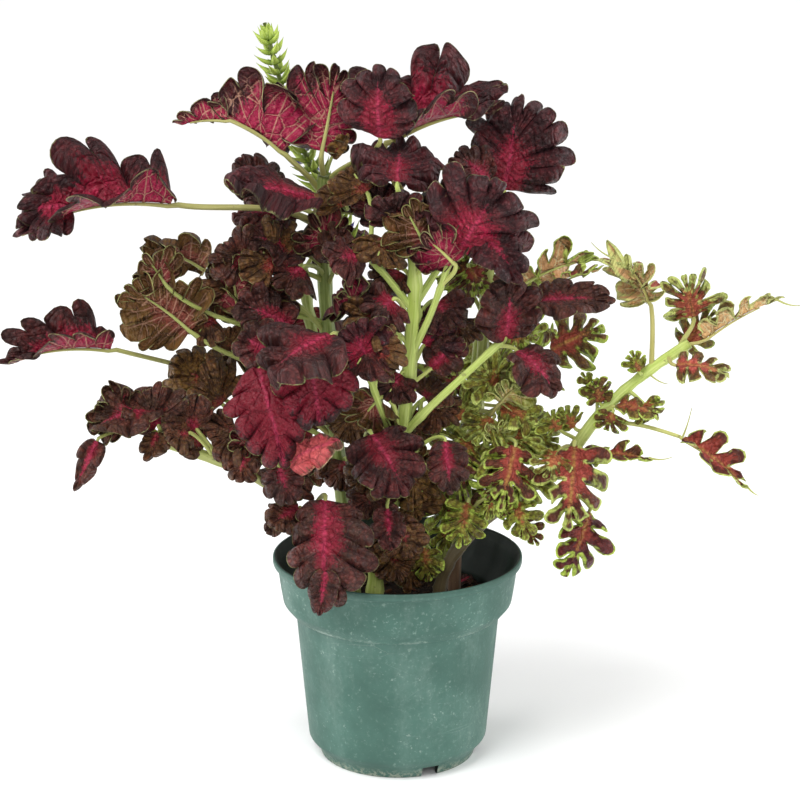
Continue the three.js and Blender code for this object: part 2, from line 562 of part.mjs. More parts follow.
// A lathe turns about Y, so its geometry is stood up on Z, and its foot ring is notched and its floor
// slotted.
function pot() {
  const lathe = new THREE.LatheGeometry(potProfile(), POT_SEGMENTS);
  lathe.rotateX(Math.PI / 2);
  let solid = toSolid(lathe);
  for (const azimuth of NOTCH_AZIMUTHS) {
    const notch = new THREE.BoxGeometry(NOTCH_WIDTH, 3 * FOOT_WIDTH, 2 * NOTCH_HEIGHT);
    notch.translate(0, -FOOT_RADIUS, 0);
    const slot = new THREE.BoxGeometry(DRAIN_WIDTH, DRAIN_LENGTH, 2 * FLOOR_TOP + 2);
    slot.translate(0, -FOOT_RADIUS + FOOT_WIDTH + DRAIN_LENGTH / 2 + 1, 0);
    for (const cutter of [notch, slot]) {
      cutter.rotateZ(THREE.MathUtils.degToRad(azimuth));
      solid = solid.subtract(toSolid(cutter));
    }
  }
  return namedMesh("nursery_pot", solid, 0x527d70, 0.55);
}

function soilHeight(x, y) {
  const lumps = 0.6 * Math.sin(0.13 * x + 1) * Math.cos(0.12 * y) + 0.4 * Math.sin(0.23 * x - 0.19 * y);
  return SOIL_TOP + SOIL_RELIEF * lumps;
}

// The inner radius of the pot's body at a height.
function bodyInside(height) {
  const part = (height - BODY_BOTTOM) / (COLLAR_BOTTOM - BODY_BOTTOM);
  return THREE.MathUtils.lerp(BODY_BOTTOM_RADIUS, BODY_TOP_RADIUS, part) - WALL;
}

function stemHole([x, y], thickness) {
  const radius = (thickness / 2 + HOLE_CLEARANCE) / Math.cos(Math.PI / HOLE_SIDES);
  const cylinder = new THREE.CylinderGeometry(radius, radius, POT_HEIGHT - HOLE_BOTTOM, HOLE_SIDES);
  cylinder.rotateX(Math.PI / 2);
  cylinder.translate(x, y, (POT_HEIGHT + HOLE_BOTTOM) / 2);
  return toSolid(cylinder);
}

// Rings of points from the middle of the top out to the wall, two rings at the foot, and the middle of
// the bottom.
function soil() {
  const rings = [];
  for (let ring = 1; ring <= SOIL_RINGS; ring += 1) {
    const radius = ((bodyInside(SOIL_TOP - SOIL_RELIEF) - CLEARANCE) * ring) / SOIL_RINGS;
    rings.push((x, y) => [radius * x, radius * y, soilHeight(radius * x, radius * y)]);
  }
  const bottom = FLOOR_TOP + CLEARANCE;
  const footRadius = FOOT_RADIUS - CLEARANCE;
  const shoulderRadius = bodyInside(BODY_BOTTOM + 1) - 2 * CLEARANCE;
  rings.push((x, y) => [shoulderRadius * x, shoulderRadius * y, BODY_BOTTOM + 2]);
  rings.push((x, y) => [footRadius * x, footRadius * y, bottom]);
  const points = [new THREE.Vector3(0, 0, soilHeight(0, 0))];
  const triangles = [];
  rings.forEach((place, ring) => {
    for (let i = 0; i < SOIL_SEGMENTS; i += 1) {
      const angle = (2 * Math.PI * i) / SOIL_SEGMENTS;
      points.push(vector(place(Math.cos(angle), Math.sin(angle))));
      const a = 1 + ring * SOIL_SEGMENTS + i;
      const b = 1 + ring * SOIL_SEGMENTS + ((i + 1) % SOIL_SEGMENTS);
      if (ring === 0) {
        triangles.push([0, a, b]);
      } else {
        triangles.push([a - SOIL_SEGMENTS, a, b], [a - SOIL_SEGMENTS, b, b - SOIL_SEGMENTS]);
      }
      if (ring === rings.length - 1) {
        triangles.push([b, a, 1 + rings.length * SOIL_SEGMENTS]);
      }
    }
  });
  points.push(new THREE.Vector3(0, 0, bottom));
  let solid = solidFrom(points, triangles);
  const stems = [...LEAFY_STEMS.map((stem) => stem.shoots[0]), SPIKE];
  for (const { route, thickness } of stems) {
    solid = solid.subtract(stemHole(route[0], thickness));
  }
  return namedMesh("potting_soil", solid, 0x2b211b, 0.95);
}

// A small blade lying on the soil: it is laid flat and then raised until it clears the ground below it.
function fallenLeaf([x, y, heading, length, width], number, ground) {
  const angle = THREE.MathUtils.degToRad(heading);
  const direction = new THREE.Vector3(Math.cos(angle), Math.sin(angle), 0);
  const middle = new THREE.Vector3(x, y, 0);
  const leaf = {
    number, width, lobes: 3, cut: 0.35, bend: 0.3, fold: 0, twist: 0, faces: new THREE.Vector3(0, 0, 1),
    base: middle.clone().addScaledVector(direction, -length / 2),
    tip: middle.clone().addScaledVector(direction, length / 2),
  };
  const mesh = namedMesh(`fallen_leaf_${number + 1}`, leafSolid(leaf), 0x6e1630, 0.7);
  const place = mesh.geometry.attributes.position;
  const down = new THREE.Vector3(0, 0, -1);
  let lift = 0;
  for (let i = 0; i < place.count; i += 1) {
    const above = new THREE.Vector3(place.getX(i), place.getY(i), POT_HEIGHT);
    const [hit] = new THREE.Raycaster(above, down).intersectObject(ground);
    lift = Math.max(lift, hit.point.z + CLEARANCE - place.getZ(i));
  }
  mesh.geometry.translate(0, 0, lift);
  return mesh;
}

const ground = soil();
const fallenLeaves = FALLEN_LEAVES.map((row, number) => fallenLeaf(row, number, ground));
const coleus = new THREE.Group();
coleus.add(pot(), ground, ...LEAFY_STEMS.map(leafyStem), flowerSpike(), ...fallenLeaves);
export default coleus;
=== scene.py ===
import bpy
import numpy as np
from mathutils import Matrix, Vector


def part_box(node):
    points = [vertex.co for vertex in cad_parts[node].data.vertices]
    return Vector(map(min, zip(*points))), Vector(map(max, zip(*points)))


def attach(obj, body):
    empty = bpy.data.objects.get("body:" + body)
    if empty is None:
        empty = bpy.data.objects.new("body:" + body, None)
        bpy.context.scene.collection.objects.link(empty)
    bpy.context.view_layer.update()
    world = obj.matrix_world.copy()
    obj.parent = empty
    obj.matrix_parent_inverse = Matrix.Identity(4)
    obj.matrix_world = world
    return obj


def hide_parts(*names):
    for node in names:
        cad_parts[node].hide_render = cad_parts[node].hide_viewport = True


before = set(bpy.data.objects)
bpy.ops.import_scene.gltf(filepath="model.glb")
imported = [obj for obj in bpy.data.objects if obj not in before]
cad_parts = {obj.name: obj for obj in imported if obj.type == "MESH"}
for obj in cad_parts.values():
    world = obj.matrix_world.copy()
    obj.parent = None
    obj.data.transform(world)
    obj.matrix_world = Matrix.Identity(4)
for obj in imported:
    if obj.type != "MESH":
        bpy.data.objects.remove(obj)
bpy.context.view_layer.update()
scene = bpy.context.scene
print("frame loaded")


def unit(vectors):
    # v / |v| along the last axis
    return vectors / np.maximum(np.linalg.norm(vectors, axis=-1, keepdims=True), 1e-9)


def smooth(low, high, value):
    # t = (value - low) / (high - low), held between 0 and 1, then t² (3 - 2t)
    t = np.clip((value - low) / (high - low), 0, 1)
    return t * t * (3 - 2 * t)


def noise(points, seed):
    # value noise, -1 to 1: a random number at each corner of a whole-number lattice, blended by t² (3 - 2t)
    table = np.random.default_rng(seed).random(4096)
    cell = np.floor(points).astype(np.int64)
    weight = smooth(0, 1, points - cell)
    total = 0
    for corner in np.ndindex(2, 2, 2):
        at = cell + np.array(corner)
        key = (at[..., 0] * 73856093) ^ (at[..., 1] * 19349663) ^ (at[..., 2] * 83492791)
        total = total + table[key % 4096] * np.prod(np.where(corner, weight, 1 - weight), axis=-1)
    return 2 * total - 1


def smoothRoute(points, perSpan):
    # centripetal Catmull-Rom: knots are the square roots of the spans, each span is the cubic through its
    # ends with the non-uniform tangents, at perSpan steps
    p = np.array(points, float)
    p = np.vstack([2 * p[0] - p[1], p, 2 * p[-1] - p[-2]])
    knot = np.linalg.norm(np.diff(p, axis=0), axis=1)[:, None] ** 0.5
    a, b, c = knot[:-2], knot[1:-1], knot[2:]
    before, start, end, after = p[:-3], p[1:-2], p[2:-1], p[3:]
    leave = ((start - before) / a - (end - before) / (a + b) + (end - start) / b) * b
    arrive = ((end - start) / b - (after - start) / (b + c) + (after - end) / c) * b
    t = (np.arange(perSpan) / perSpan)[None, :, None]
    start, end, leave, arrive = (x[:, None] for x in (start, end, leave, arrive))
    body = (start + leave * t + (3 * (end - start) - 2 * leave - arrive) * t**2
            + (2 * (start - end) + leave + arrive) * t**3)
    return np.vstack([body.reshape(-1, 3), p[-2]])


def lengthAlong(path):
    # the running sum of the steps' lengths, from 0
    return np.concatenate([[0], np.cumsum(np.linalg.norm(np.diff(path, axis=0), axis=1))])


def placeAt(value, key, path):
    # where on the path its rising key passes the value, by straight steps
    return np.array([np.interp(value, key, axis) for axis in path.T])


def makePiece(name, parts, material, slot, *nodes):
    # one mesh from parts {points, faces, values}: each part's face numbers go up by the points before it
    starts = np.cumsum([0] + [len(part["points"]) for part in parts])
    faces = [face + start for part, start in zip(parts, starts) for face in part["faces"]]
    sizes = np.concatenate([np.full(len(face), face.shape[1]) for face in faces])
    corners = np.concatenate([face.ravel() for face in faces])
    mesh = bpy.data.meshes.new(name)
    mesh.vertices.add(starts[-1])
    points = np.vstack([part["points"] for part in parts])
    mesh.vertices.foreach_set("co", (points / 1000).astype(np.float32).ravel())
    mesh.loops.add(len(corners))
    mesh.loops.foreach_set("vertex_index", corners.astype(np.int32))
    mesh.polygons.add(len(sizes))
    mesh.polygons.foreach_set("loop_start", (np.cumsum(sizes) - sizes).astype(np.int32))
    mesh.polygons.foreach_set("use_smooth", np.ones(len(sizes), bool))
    for key in parts[0]["values"]:
        values = np.vstack([part["values"][key] for part in parts])
        attribute = mesh.attributes.new(key, "FLOAT_VECTOR", "POINT")
        attribute.data.foreach_set("vector", values.astype(np.float32).ravel())
    mesh.update(calc_edges=True)
    mesh.validate()
    mesh.materials.append(material)
    piece = bpy.data.objects.new(name, mesh)
    scene.collection.objects.link(piece)
    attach(piece, "root")
    if nodes:
        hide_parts(*nodes)
    print(f"{name}: {int(np.sum(sizes - 2))} triangles")
    return piece


def gridFaces(index):
    # quads between neighbouring rows and columns of an array of point numbers
    corners = [index[:-1, :-1], index[:-1, 1:], index[1:, 1:], index[1:, :-1]]
    return np.stack(corners, axis=-1).reshape(-1, 4)


def tubeFaces(rings, segments):
    # quads round a stack of rings and a fan to a pole at each end, whose points come after the rings'
    index = np.arange(rings * segments).reshape(rings, segments)
    index = np.concatenate([index, index[:, :1]], axis=1)
    last = rings * segments
    low = np.stack([np.full(segments, last), index[0, 1:], index[0, :-1]], axis=-1)
    high = np.stack([np.full(segments, last + 1), index[-1, :-1], index[-1, 1:]], axis=-1)
    return [gridFaces(index)[:, ::-1], low, high]


def paint(code):
    # a hex colour as linear RGBA
    values = np.array([int(code[k:k + 2], 16) for k in (0, 2, 4)]) / 255
    linear = np.where(values <= 0.04045, values / 12.92, ((values + 0.055) / 1.055) ** 2.4)
    return (*linear.tolist(), 1)


class Signal:
    # a socket of a material, on which arithmetic adds Math nodes
    def __init__(self, look, socket):
        self.look = look
        self.socket = socket

    def math(self, operation, *values):
        return self.look.node("ShaderNodeMath", {"operation": operation}, dict(enumerate(values)))

    def __add__(self, other):
        return self.math("ADD", self, other)

    def __sub__(self, other):
        return self.math("SUBTRACT", self, other)

    def __mul__(self, other):
        return self.math("MULTIPLY", self, other)

    def __rsub__(self, other):
        return self.math("SUBTRACT", other, self)

    def __abs__(self):
        return self.math("ABSOLUTE", self)

    def cosine(self):
        return self.math("COSINE", self)

    def maximum(self, other):
        return self.math("MAXIMUM", self, other)

    __radd__ = __add__
    __rmul__ = __mul__


class Look:
    # a material: node() takes a node's type, its settings and the values or links of its sockets
    def __init__(self, name, **constants):
        self.material = bpy.data.materials.new(name)
        self.material.use_nodes = True
        self.nodes = self.material.node_tree.nodes
        self.links = self.material.node_tree.links
        self.shader = next(node for node in self.nodes if node.type == "BSDF_PRINCIPLED")
        for socket, value in constants.items():
            self.shader.inputs[socket.replace("_", " ")].default_value = value

    def set(self, socket, value):
        if isinstance(value, Signal):
            self.links.new(value.socket, socket)
        else:
            socket.default_value = value

    def node(self, kind, settings, values, output=0):
        node = self.nodes.new(kind)
        for key, value in settings.items():
            setattr(node, key, value)
        for key, value in values.items():
            self.set(node.inputs[key], value)
        return Signal(self, node.outputs[output])

    def split(self, vector):
        return [self.node("ShaderNodeSeparateXYZ", {}, {0: vector}, k) for k in range(3)]

    def attribute(self, name):
        return self.split(self.node("ShaderNodeAttribute", {"attribute_name": name}, {}, "Vector"))

    def vector(self, x, y, z):
        return self.node("ShaderNodeCombineXYZ", {}, {0: x, 1: y, 2: z})

    def place(self):
        return self.node("ShaderNodeTexCoord", {}, {}, "Object")

    def noise(self, vector, scale, detail=3, roughness=0.55):
        values = {"Vector": vector, "Scale": scale, "Detail": detail, "Roughness": roughness}
        return self.node("ShaderNodeTexNoise", {}, values)

    def cells(self, vector, scale, feature="DISTANCE_TO_EDGE"):
        return self.node("ShaderNodeTexVoronoi", {"feature": feature}, {"Vector": vector, "Scale": scale})

    def step(self, value, low, high):
        # smooth step from 0 at low to 1 at high; the two may be the other way round
        sockets = {0: value, 1: low, 2: high}
        return self.node("ShaderNodeMapRange", {"interpolation_type": "SMOOTHSTEP"}, sockets)

    def mix(self, part, first, second):
        # the colours are signals or hex codes
        first, second = (paint(colour) if isinstance(colour, str) else colour for colour in (first, second))
        return self.node("ShaderNodeMix", {"data_type": "RGBA"}, {0: part, 6: first, 7: second}, 2)

    def finish(self, colour, roughness, height, distance):
        # colour and roughness straight in, and the height, times the distance in metres, as relief
        self.set(self.shader.inputs["Base Color"], colour)
        self.set(self.shader.inputs["Roughness"], roughness)
        relief = self.node("ShaderNodeBump", {}, {"Strength": 1, "Distance": distance, "Height": height})
        self.set(self.shader.inputs["Normal"], relief)
        return self.material


studio = {
    "cameraPlace": (0.0015, -1.4463, 0.6142), "cameraTilt": 74.9, "lens": 112.4, "sensor": 36, "sky": 0.52,
    "sun": 2.3, "sunSpread": 35, "sunPlace": (-0.6, -0.8, 1.5), "floor": 0.92, "floorSize": 30,
    # place, aimed at, size, watts
    "lamps": [
        [(-1.4, 0.1, 0.6), (0, 0, 0.22), 1.0, 12],
        [(1.4, 0.1, 0.6), (0, 0, 0.22), 1.0, 12],
        [(0.3, -1.6, 0.9), (0, 0, 0.28), 0.8, 7],
    ],
}


def aim(item, place, target):
    item.location = place
    item.rotation_euler = (Vector(target) - Vector(place)).to_track_quat("-Z", "Y").to_euler()
    scene.collection.objects.link(item)


def buildStudio():
    camera = bpy.data.objects.new("camera", bpy.data.cameras.new("camera"))
    camera.data.sensor_width = studio["sensor"]
    camera.data.lens = studio["lens"]
    camera.location = studio["cameraPlace"]
    camera.rotation_euler = (np.radians(studio["cameraTilt"]), 0, 0)
    scene.collection.objects.link(camera)
    scene.camera = camera
    for number, (place, target, size, watts) in enumerate(studio["lamps"]):
        lamp = bpy.data.lights.new(f"lamp{number}", "AREA")
        lamp.shape = "DISK"
        lamp.size = size
        lamp.energy = watts
        aim(bpy.data.objects.new(f"lamp{number}", lamp), place, target)
    sun = bpy.data.lights.new("sun", "SUN")
    sun.energy = studio["sun"]
    sun.angle = np.radians(studio["sunSpread"])
    aim(bpy.data.objects.new("sun", sun), studio["sunPlace"], (0, 0, 0))
    world = bpy.data.worlds.new("sky")
    world.use_nodes = True
    world.node_tree.nodes["Background"].inputs["Color"].default_value = (1, 1, 1, 1)
    world.node_tree.nodes["Background"].inputs["Strength"].default_value = studio["sky"]
    scene.world = world
    scene.view_settings.view_transform = "Standard"
    half = studio["floorSize"] / 2
    mesh = bpy.data.meshes.new("floor")
    corners = [(-half, -half, 0), (half, -half, 0), (half, half, 0), (-half, half, 0)]
    mesh.from_pydata(corners, [], [(0, 1, 2, 3)])
    floor = bpy.data.objects.new("floor", mesh)
    look = Look("floor", Roughness=0.8)
    look.shader.inputs["Base Color"].default_value = (studio["floor"],) * 3 + (1,)
    mesh.materials.append(look.material)
    scene.collection.objects.link(floor)


buildStudio()
print("studio ready")

# A leaf is a line: the shoot it grows from and its height on that shoot, or 0 for one without a stalk; blade
# base; blade tip; way its upper face looks; width, lobes a side, bend, fold and twist; how far its red heart
# reaches, the heart's glow, salmon above 1, and how green it is. For some the shares of the left and right
# half widths and an extra depth of the notches follow. "cut" is the depth of a stem's notches, and a
# thread is the drawn-out tip of a leaf.
leafyStems = {
    "front_leafy_stem": {
        "cut": 0.42,
        "shoots": [
            {"thickness": 9.5, "route": [[-14, -24, 78.3], [-14, -24, 101], [-12, -23, 129], [-3, -22, 168],
                [2, -24, 203], [9, -26, 273], [10, -26, 309], [8, -20, 345]]},
            {"thickness": 5.5, "route": [[1, -24, 206], [14, -28, 222], [40, -31, 248], [61, -30, 268]]},
            {"thickness": 4.5, "route": [[8, -26, 258], [19, -34, 284], [30, -43, 318]]},
            {"thickness": 4.5, "route": [[10, -26, 288], [22, -20, 306], [38, -8, 330]]},
            {"thickness": 4.5, "route": [[10, -26, 284], [-5, -28, 304], [-19, -26, 320]]},
            {"thickness": 4.2, "route": [[-1, -24, 202], [-11, -36, 232], [-18, -47, 256]]},
        ],
        "leaves": """
        0 340, -4 4 380, 62 14 395, -8 -45 85, 108 6 45 50, 0.6 0.95 0 0.82 0.52
        3 326, 63 10 349, 71 20 402, 8 -90 35, 72 6 35 12, 0.32 0.42 0 0.85 1.15 0.14
        2 312, 35 -44 324, 58 -54 366, 12 -85 25, 76 4 40, 0.42 0.9 0 1 1 0.2
        0 340, 0 -34 362, 2 -5 382, 0 -70 70, 58 5 50 -10, 0.25 0.1 0
        5 250, -18 -46 262, -27 -52 283, -10 -85 45, 44 4 50 15, 0.5 0.6 0
        0 150, -15 -42 215, 6 -60 182, 10 -80 60, 50 5 35, 0.3 0.12 0.05
        1 262, 63 -30 270, 65 -35 307, 20 -90 45, 46 4 45 10, 0.3 0.4 0.1
        1 264, 70 -29 262, 93 -46 238, 15 -50 85, 36 4 45 10, 0.35 0.5 0.1
        1 266, 79 -24 289, 126 -22 290, 0 -55 80, 36 4 30 15 60, 0.2 0.3 0.15
        0 236, 20 -24 250, 38 -24 268, -20 -90 20, 26 3 25 10, 0.3 0.4 0.1
        0 185, 28 -40 210, 31 -54 181, 10 -95 20, 28 4 35 5, 0.3 0.25 0.1
        4 316, -22 -32 318, -40 -42 318, -10 -70 60, 34 4 50, 0.3 0.4 0.1
        0 335, 24 -12 330, 28 -6 358, -10 -85 40, 36 4 40 10, 0.35 0.5 0.05
        0 282, -2 -12 290, -28 -14 292, 0 -70 60, 26 3 30, 0.3 0.4 0.1
        0 328, -6 -10 336, -15 -8 356, -30 -80 40, 38 4 45, 0.4 0.6 0.05
        0 175, -6 -44 170, -4 -56 146, 0 -90 30, 22 3 30 10, 0.2 0.3 0.1
        """,
        "young": """
        4 312, -7 -30 329, -13 -38 315, -10 -85 30, 39 3 45, 0.16 0.18 0.65
        0 302, 16 -38 326, 4 -44 350, 0 85 -10, 48 5 40 10, 0.08 0.18 0.6
        2 300, 32 -46 318, 16 -52 333, 0 85 20, 43 4 40 15, 0.64 0.54 0
        4 316, -18 -14 353, -28 -10 367, -10 -80 40, 43 5 40 10, 0.2 0.18 0.65
        0 320, 0 -34 339, -5 -34 354, 0 -85 30, 39 3 45 10, 0.24 0.24 0.05
        5 240, -15 -44 269, -26 -50 254, -10 -75 55, 46 5 50, 0.16 0.18 0.1
        0 192, -11 -34 234, -23 -36 219, -10 80 20, 48 5 45, 0.5 0.3 0.65
        1 222, 16 -16 230, 25 -10 237, 0 -70 60, 34 3 40 10, 0.16 0.18 0.3
        0 128, -3 -40 155, 0 -44 139, 0 -90 20, 34 3 40, 0.16 0.18 0.8
        0 150, -15 -36 191, -23 -40 179, -10 -75 50, 39 3 45, 0.24 0.21 0.65
        0 268, -3 -38 294, -13 -44 285, -10 -80 45, 39 3 45, 0.4 0.36 0.1
        0 262, -25 -30 292, -34 -34 299, -10 80 20, 41 4 45, 0.5 0.3 0
        0 250, -14 -36 285, -24 -40 276, 0 -80 50, 39 3 45, 0.16 0.18 0.65
        0 238, 16 -20 263, 28 -22 277, 10 -85 35, 43 5 45, 0.24 0.3 0
        0 205, 19 -14 227, 29 -18 214, 10 -80 45, 41 5 45, 0.16 0.18 0.4
        0 200, 13 -6 219, 9 -10 203, 0 -85 40, 39 4 45, 0.16 0.18 0.5
        0 160, 6 -12 189, 16 -14 199, 0 80 20, 36 4 45, 0.5 0.3 0.6
        0 140, 7 -20 167, 16 -22 156, 0 -85 40, 39 3 45, 0.12 0.12 0.8
        5 248, -14 -46 263, 0 -52 275, -10 -80 45, 36 4 45, 0.48 0.36 0.65
        0 132, -1 -40 163, 9 -48 139, 10 -90 20, 30 4 40, 0.24 0.18 0.5
        0 146, 4 -20 186, 19 -26 169, 10 -85 30, 40 4 45, 0.08 0.12 0.9
        0 272, 24 -18 288, 32 -24 274, 0 -85 40, 40 4 45, 0.2 0.2 0.1
        0 262, 36 -10 274, 44 -14 263, 10 -80 45, 38 4 45, 0.2 0.2 0.4
        0 216, 2 -30 248, -7 -36 234, -10 -85 35, 34 4 45, 0.2 0.2 0.1
        0 150, -13 -36 181, -19 -42 163, -10 -90 20, 34 4 40, 0.15 0.15 0.2
        0 126, -4 -32 141, 2 -36 123, 0 -90 25, 30 4 45, 0.15 0.2 0.6
        0 112, 4 -16 128, 12 -20 114, 10 -90 25, 26 3 45, 0.2 0.2 0.7
        0 300, 0 -20 308, -8 -24 298, -10 -85 35, 36 4 45, 0.3 0.3 0.3
        3 326, 54 -2 357, 33 -6 375, -5 -85 40, 30 4 50, 0.3 0.4 0.1
        2 312, 45 -40 338, 70 -54 308, 15 -80 50, 34 3 45 10, 0.2 0.5 0
        """,
    },
    "left_leafy_stem": {
        "cut": 0.42,
        "shoots": [
            {"thickness": 9, "route": [[-27, 6, 78.3], [-27, 6, 101], [-30, 8, 125], [-38, 12, 202],
                [-43, 15, 282], [-44, 12, 343], [-43, 6, 360]]},
        ],
        "leaves": """
        0 345, -67 0 374, -108 3 397, 0 80 60, 78 4 40 46, 0.52 0.8 0 1 0.5
        0 356, -44 0 374, -35 8 422, 14 90 10, 74 6 25 20, 0.6 0.8 0 0.55 1.05 0.05
        0 352, -10 -20 385, -11 -26 428, -12 -80 50, 50 4 50, 0.42 0.65 0
        0 338, -45 -14 348, -96 -38 360, 0 -60 80, 60 3 35 -8, 0.35 0.5 0 0.45 1.1
        0 330, -75 25 344, -97 40 364, 0 -80 50, 34 4 30 10, 0.3 0.5 0.1
        0 322, -60 14 333, -99 10 333, 0 -50 85, 38 4 50, 0.3 0.5 0.1
        0 300, -58 5 315, -90 -10 326, 0 -75 60, 34 4 45 10, 0.3 0.5 0.1
        0 326, -131 -5 344, -221 -18 328, 0 -50 85, 88 7 52 50 -95, 0.55 0.85 0 0.6 0.92 -0.1
        0 240, -94 -10 279, -99 -10 317, 10 85 30, 42 4 25 15, 0.45 0.7 0.35
        0 212, -121 -20 271, -157 -35 301, -20 80 45, 58 8 40 10, 0.2 0.4 0.7
        0 262, -114 5 303, -151 0 317, -10 55 75, 44 4 40 15, 0.2 0.4 0.7
        0 195, -168 -15 259, -233 -20 250, 0 -30 90, 56 6 40 50 -70, 0.5 0.7 0.05 0.6 0.95 -0.08
        0 190, -107 -8 229, -134 -12 254, -20 -70 50, 44 4 40, 0.15 0.2 0.9
        0 246, -63 -16 273, -96 -22 289, 0 -75 60, 42 4 45, 0.3 0.4 0.1
        0 240, -38 -60 279, -74 -84 260, -10 -55 80, 54 3 45, 0.28 0.45 0.05
        0 285, -37 5 305, -32 -8 332, 10 -90 30, 34 4 35 15, 0.3 0.4 0.2
        0 352, -38 2 371, -28 -4 385, 30 -60 70, 12 2 20 20, 0 0.2 1
        0 335, -20 16 338, -32 12 362, -10 -80 40, 38 4 45, 0.3 0.4 0.2
        0 225, -62 26 234, -84 28 258, 0 -75 55, 40 4 40, 0.3 0.4 0.3
        0 180, -52 16 196, -72 14 214, -10 -85 40, 30 3 35, 0.2 0.3 0.4
        """,
        "young": """
        0 352, -30 -6 343, -37 -4 358, -10 -80 40, 39 3 40 10, 0.16 0.18 0.65
        0 312, -40 -4 320, -49 -6 334, -10 80 20, 41 4 45 10, 0.5 0.3 0.1
        0 296, -56 -8 307, -69 -14 297, -15 -75 50, 41 4 45, 0.32 0.3 0.15
        0 292, -71 -6 309, -85 -8 321, -10 -80 45, 50 5 45 10, 0.36 0.36 0.65
        0 262, -91 4 293, -105 0 307, -20 -75 50, 52 5 45 10, 0.12 0.18 0.5
        0 266, -80 0 282, -75 -4 296, 0 -85 40, 43 4 35 10, 0.08 0.12 0.15
        0 240, -86 -4 275, -89 -8 296, 0 80 20, 48 5 40 10, 0.5 0.3 0.65
        0 236, -98 -8 257, -101 -12 270, -10 -80 45, 27 3 40, 0.08 0.12 0.6
        0 210, -104 -14 225, -119 -18 240, -20 -75 50, 55 5 45, 0.12 0.24 0.6
        0 205, -26 6 217, -32 0 198, -10 -80 45, 46 5 45, 0.16 0.18 0.65
        0 180, -31 2 185, -36 -4 169, -10 -80 45, 39 3 45, 0.16 0.18 0.3
        0 258, -89 -6 309, -100 -10 324, -15 -80 40, 42 4 45 10, 0.3 0.4 0.2
        0 236, -135 -26 301, -145 -30 317, -15 80 20, 36 4 45 10, 0.4 0.3 0.5
        0 214, -108 -12 277, -120 -18 267, -10 -80 45, 32 4 45 10, 0.2 0.2 0.5
        0 345, -99 4 392, -130 6 388, 0 80 60, 26 3 40 40, 0.5 0.85 0 1 0.6
        0 0, -189 -19 345, -218 -22 343, -15 -70 45, 44 5 50 10, 0.45 0.7 0
        """,
    },
    "low_left_leafy_stem": {
        "cut": 0.4,
        "shoots": [
            {"thickness": 6.5, "route": [[-40, -33, 78.3], [-40, -33, 101], [-45, -37, 122], [-56, -40, 149],
                [-66, -38, 171], [-82, -36, 186], [-108, -34, 197], [-138, -32, 207]]},
        ],
        "leaves": """
        0 206, -139 -36 231, -180 -46 217, -15 -65 65, 43 4 55 10, 0.3 0.55 0.2 0.8 1
        0 196, -113 -30 206, -138 -37 224, -20 -75 50, 30 3 40 10, 0.3 0.65 0.35
        0 186, -88 -46 208, -92 -60 191, -10 -80 40, 26 3 40, 0.3 0.65 0.3
        0 176, -80 -52 258, -64 -72 203, 0 -100 15, 50 5 35, 0.95 0.1 0
        0 172, -50 -60 269, -44 -72 226, 5 -100 15, 52 4 30, 0.95 0.2 0
        0 178, -68 -44 262, -92 -46 276, -10 -90 30, 36 3 30, 0.5 0.5 0.1
        0 158, -63 -64 203, -32 -72 219, 0 -60 75, 24 2 50, 0.95 1.5 0.2
        0 150, -42 -58 180, -43 -88 122, 0 -95 30, 60 5 45, 0.34 0.55 0.12 1.05 0.75 0.08
        0 140, -58 -50 172, -75 -62 165, -10 -80 50, 24 3 45, 0.3 0.55 0.3
        0 168, -65 -34 164, -77 -50 155, -10 -70 60, 18 3 50, 0.3 0.55 0.25
        """,
        "young": """
        0 188, -94 -40 215, -108 -44 209, -15 -75 50, 43 4 50, 0.16 0.33 0.33
        0 170, -85 -44 213, -92 -50 204, -10 85 20, 34 3 45, 0.5 0.3 0.15
        0 196, -118 -38 217, -128 -40 232, -20 -75 50, 39 3 40 10, 0.2 0.45 0.25
        0 197, -122 -44 216, -134 -52 214, -20 -75 50, 24 3 50, 0.16 0.39 0.4
        0 204, -140 -40 220, -146 -42 240, -10 -85 35, 46 5 35 10, 0.24 0.45 0.2
        0 160, -63 -44 195, -68 -50 181, -10 -80 40, 41 4 45, 0.16 0.33 0.2
        0 206, -157 -40 224, -176 -42 232, -20 75 20, 43 5 40, 0.5 0.45 0.23
        0 130, -27 -40 149, -22 -44 130, -10 -90 25, 28 3 45, 0.2 0.35 0.3
        0 206, -175 -46 212, -188 -50 183, -10 -80 40, 17 2 30 10, 0.3 0.5 0.17
        0 200, -140 -40 215, -146 -44 201, -10 -80 45, 20 2 60, 0.2 0.45 0.4
        0 0, -41 -91 147, -45 -90 119, 0 -95 30, 20 3 30 12, 0.2 0.4 0.1
        0 165, -68 -64 201, -62 -68 181, 0 -95 30, 27 3 35 5, 0.2 0.3 0.1
        """,
    },
    "right_leafy_stem": {
        "cut": 0.6,
        "shoots": [
            {"thickness": 8, "route": [[35, 12, 78.3], [35, 12, 101], [37, 12, 145], [45, 14, 189],
                [50, 12, 233], [53, 8, 284], [56, 6, 316]]},
        ],
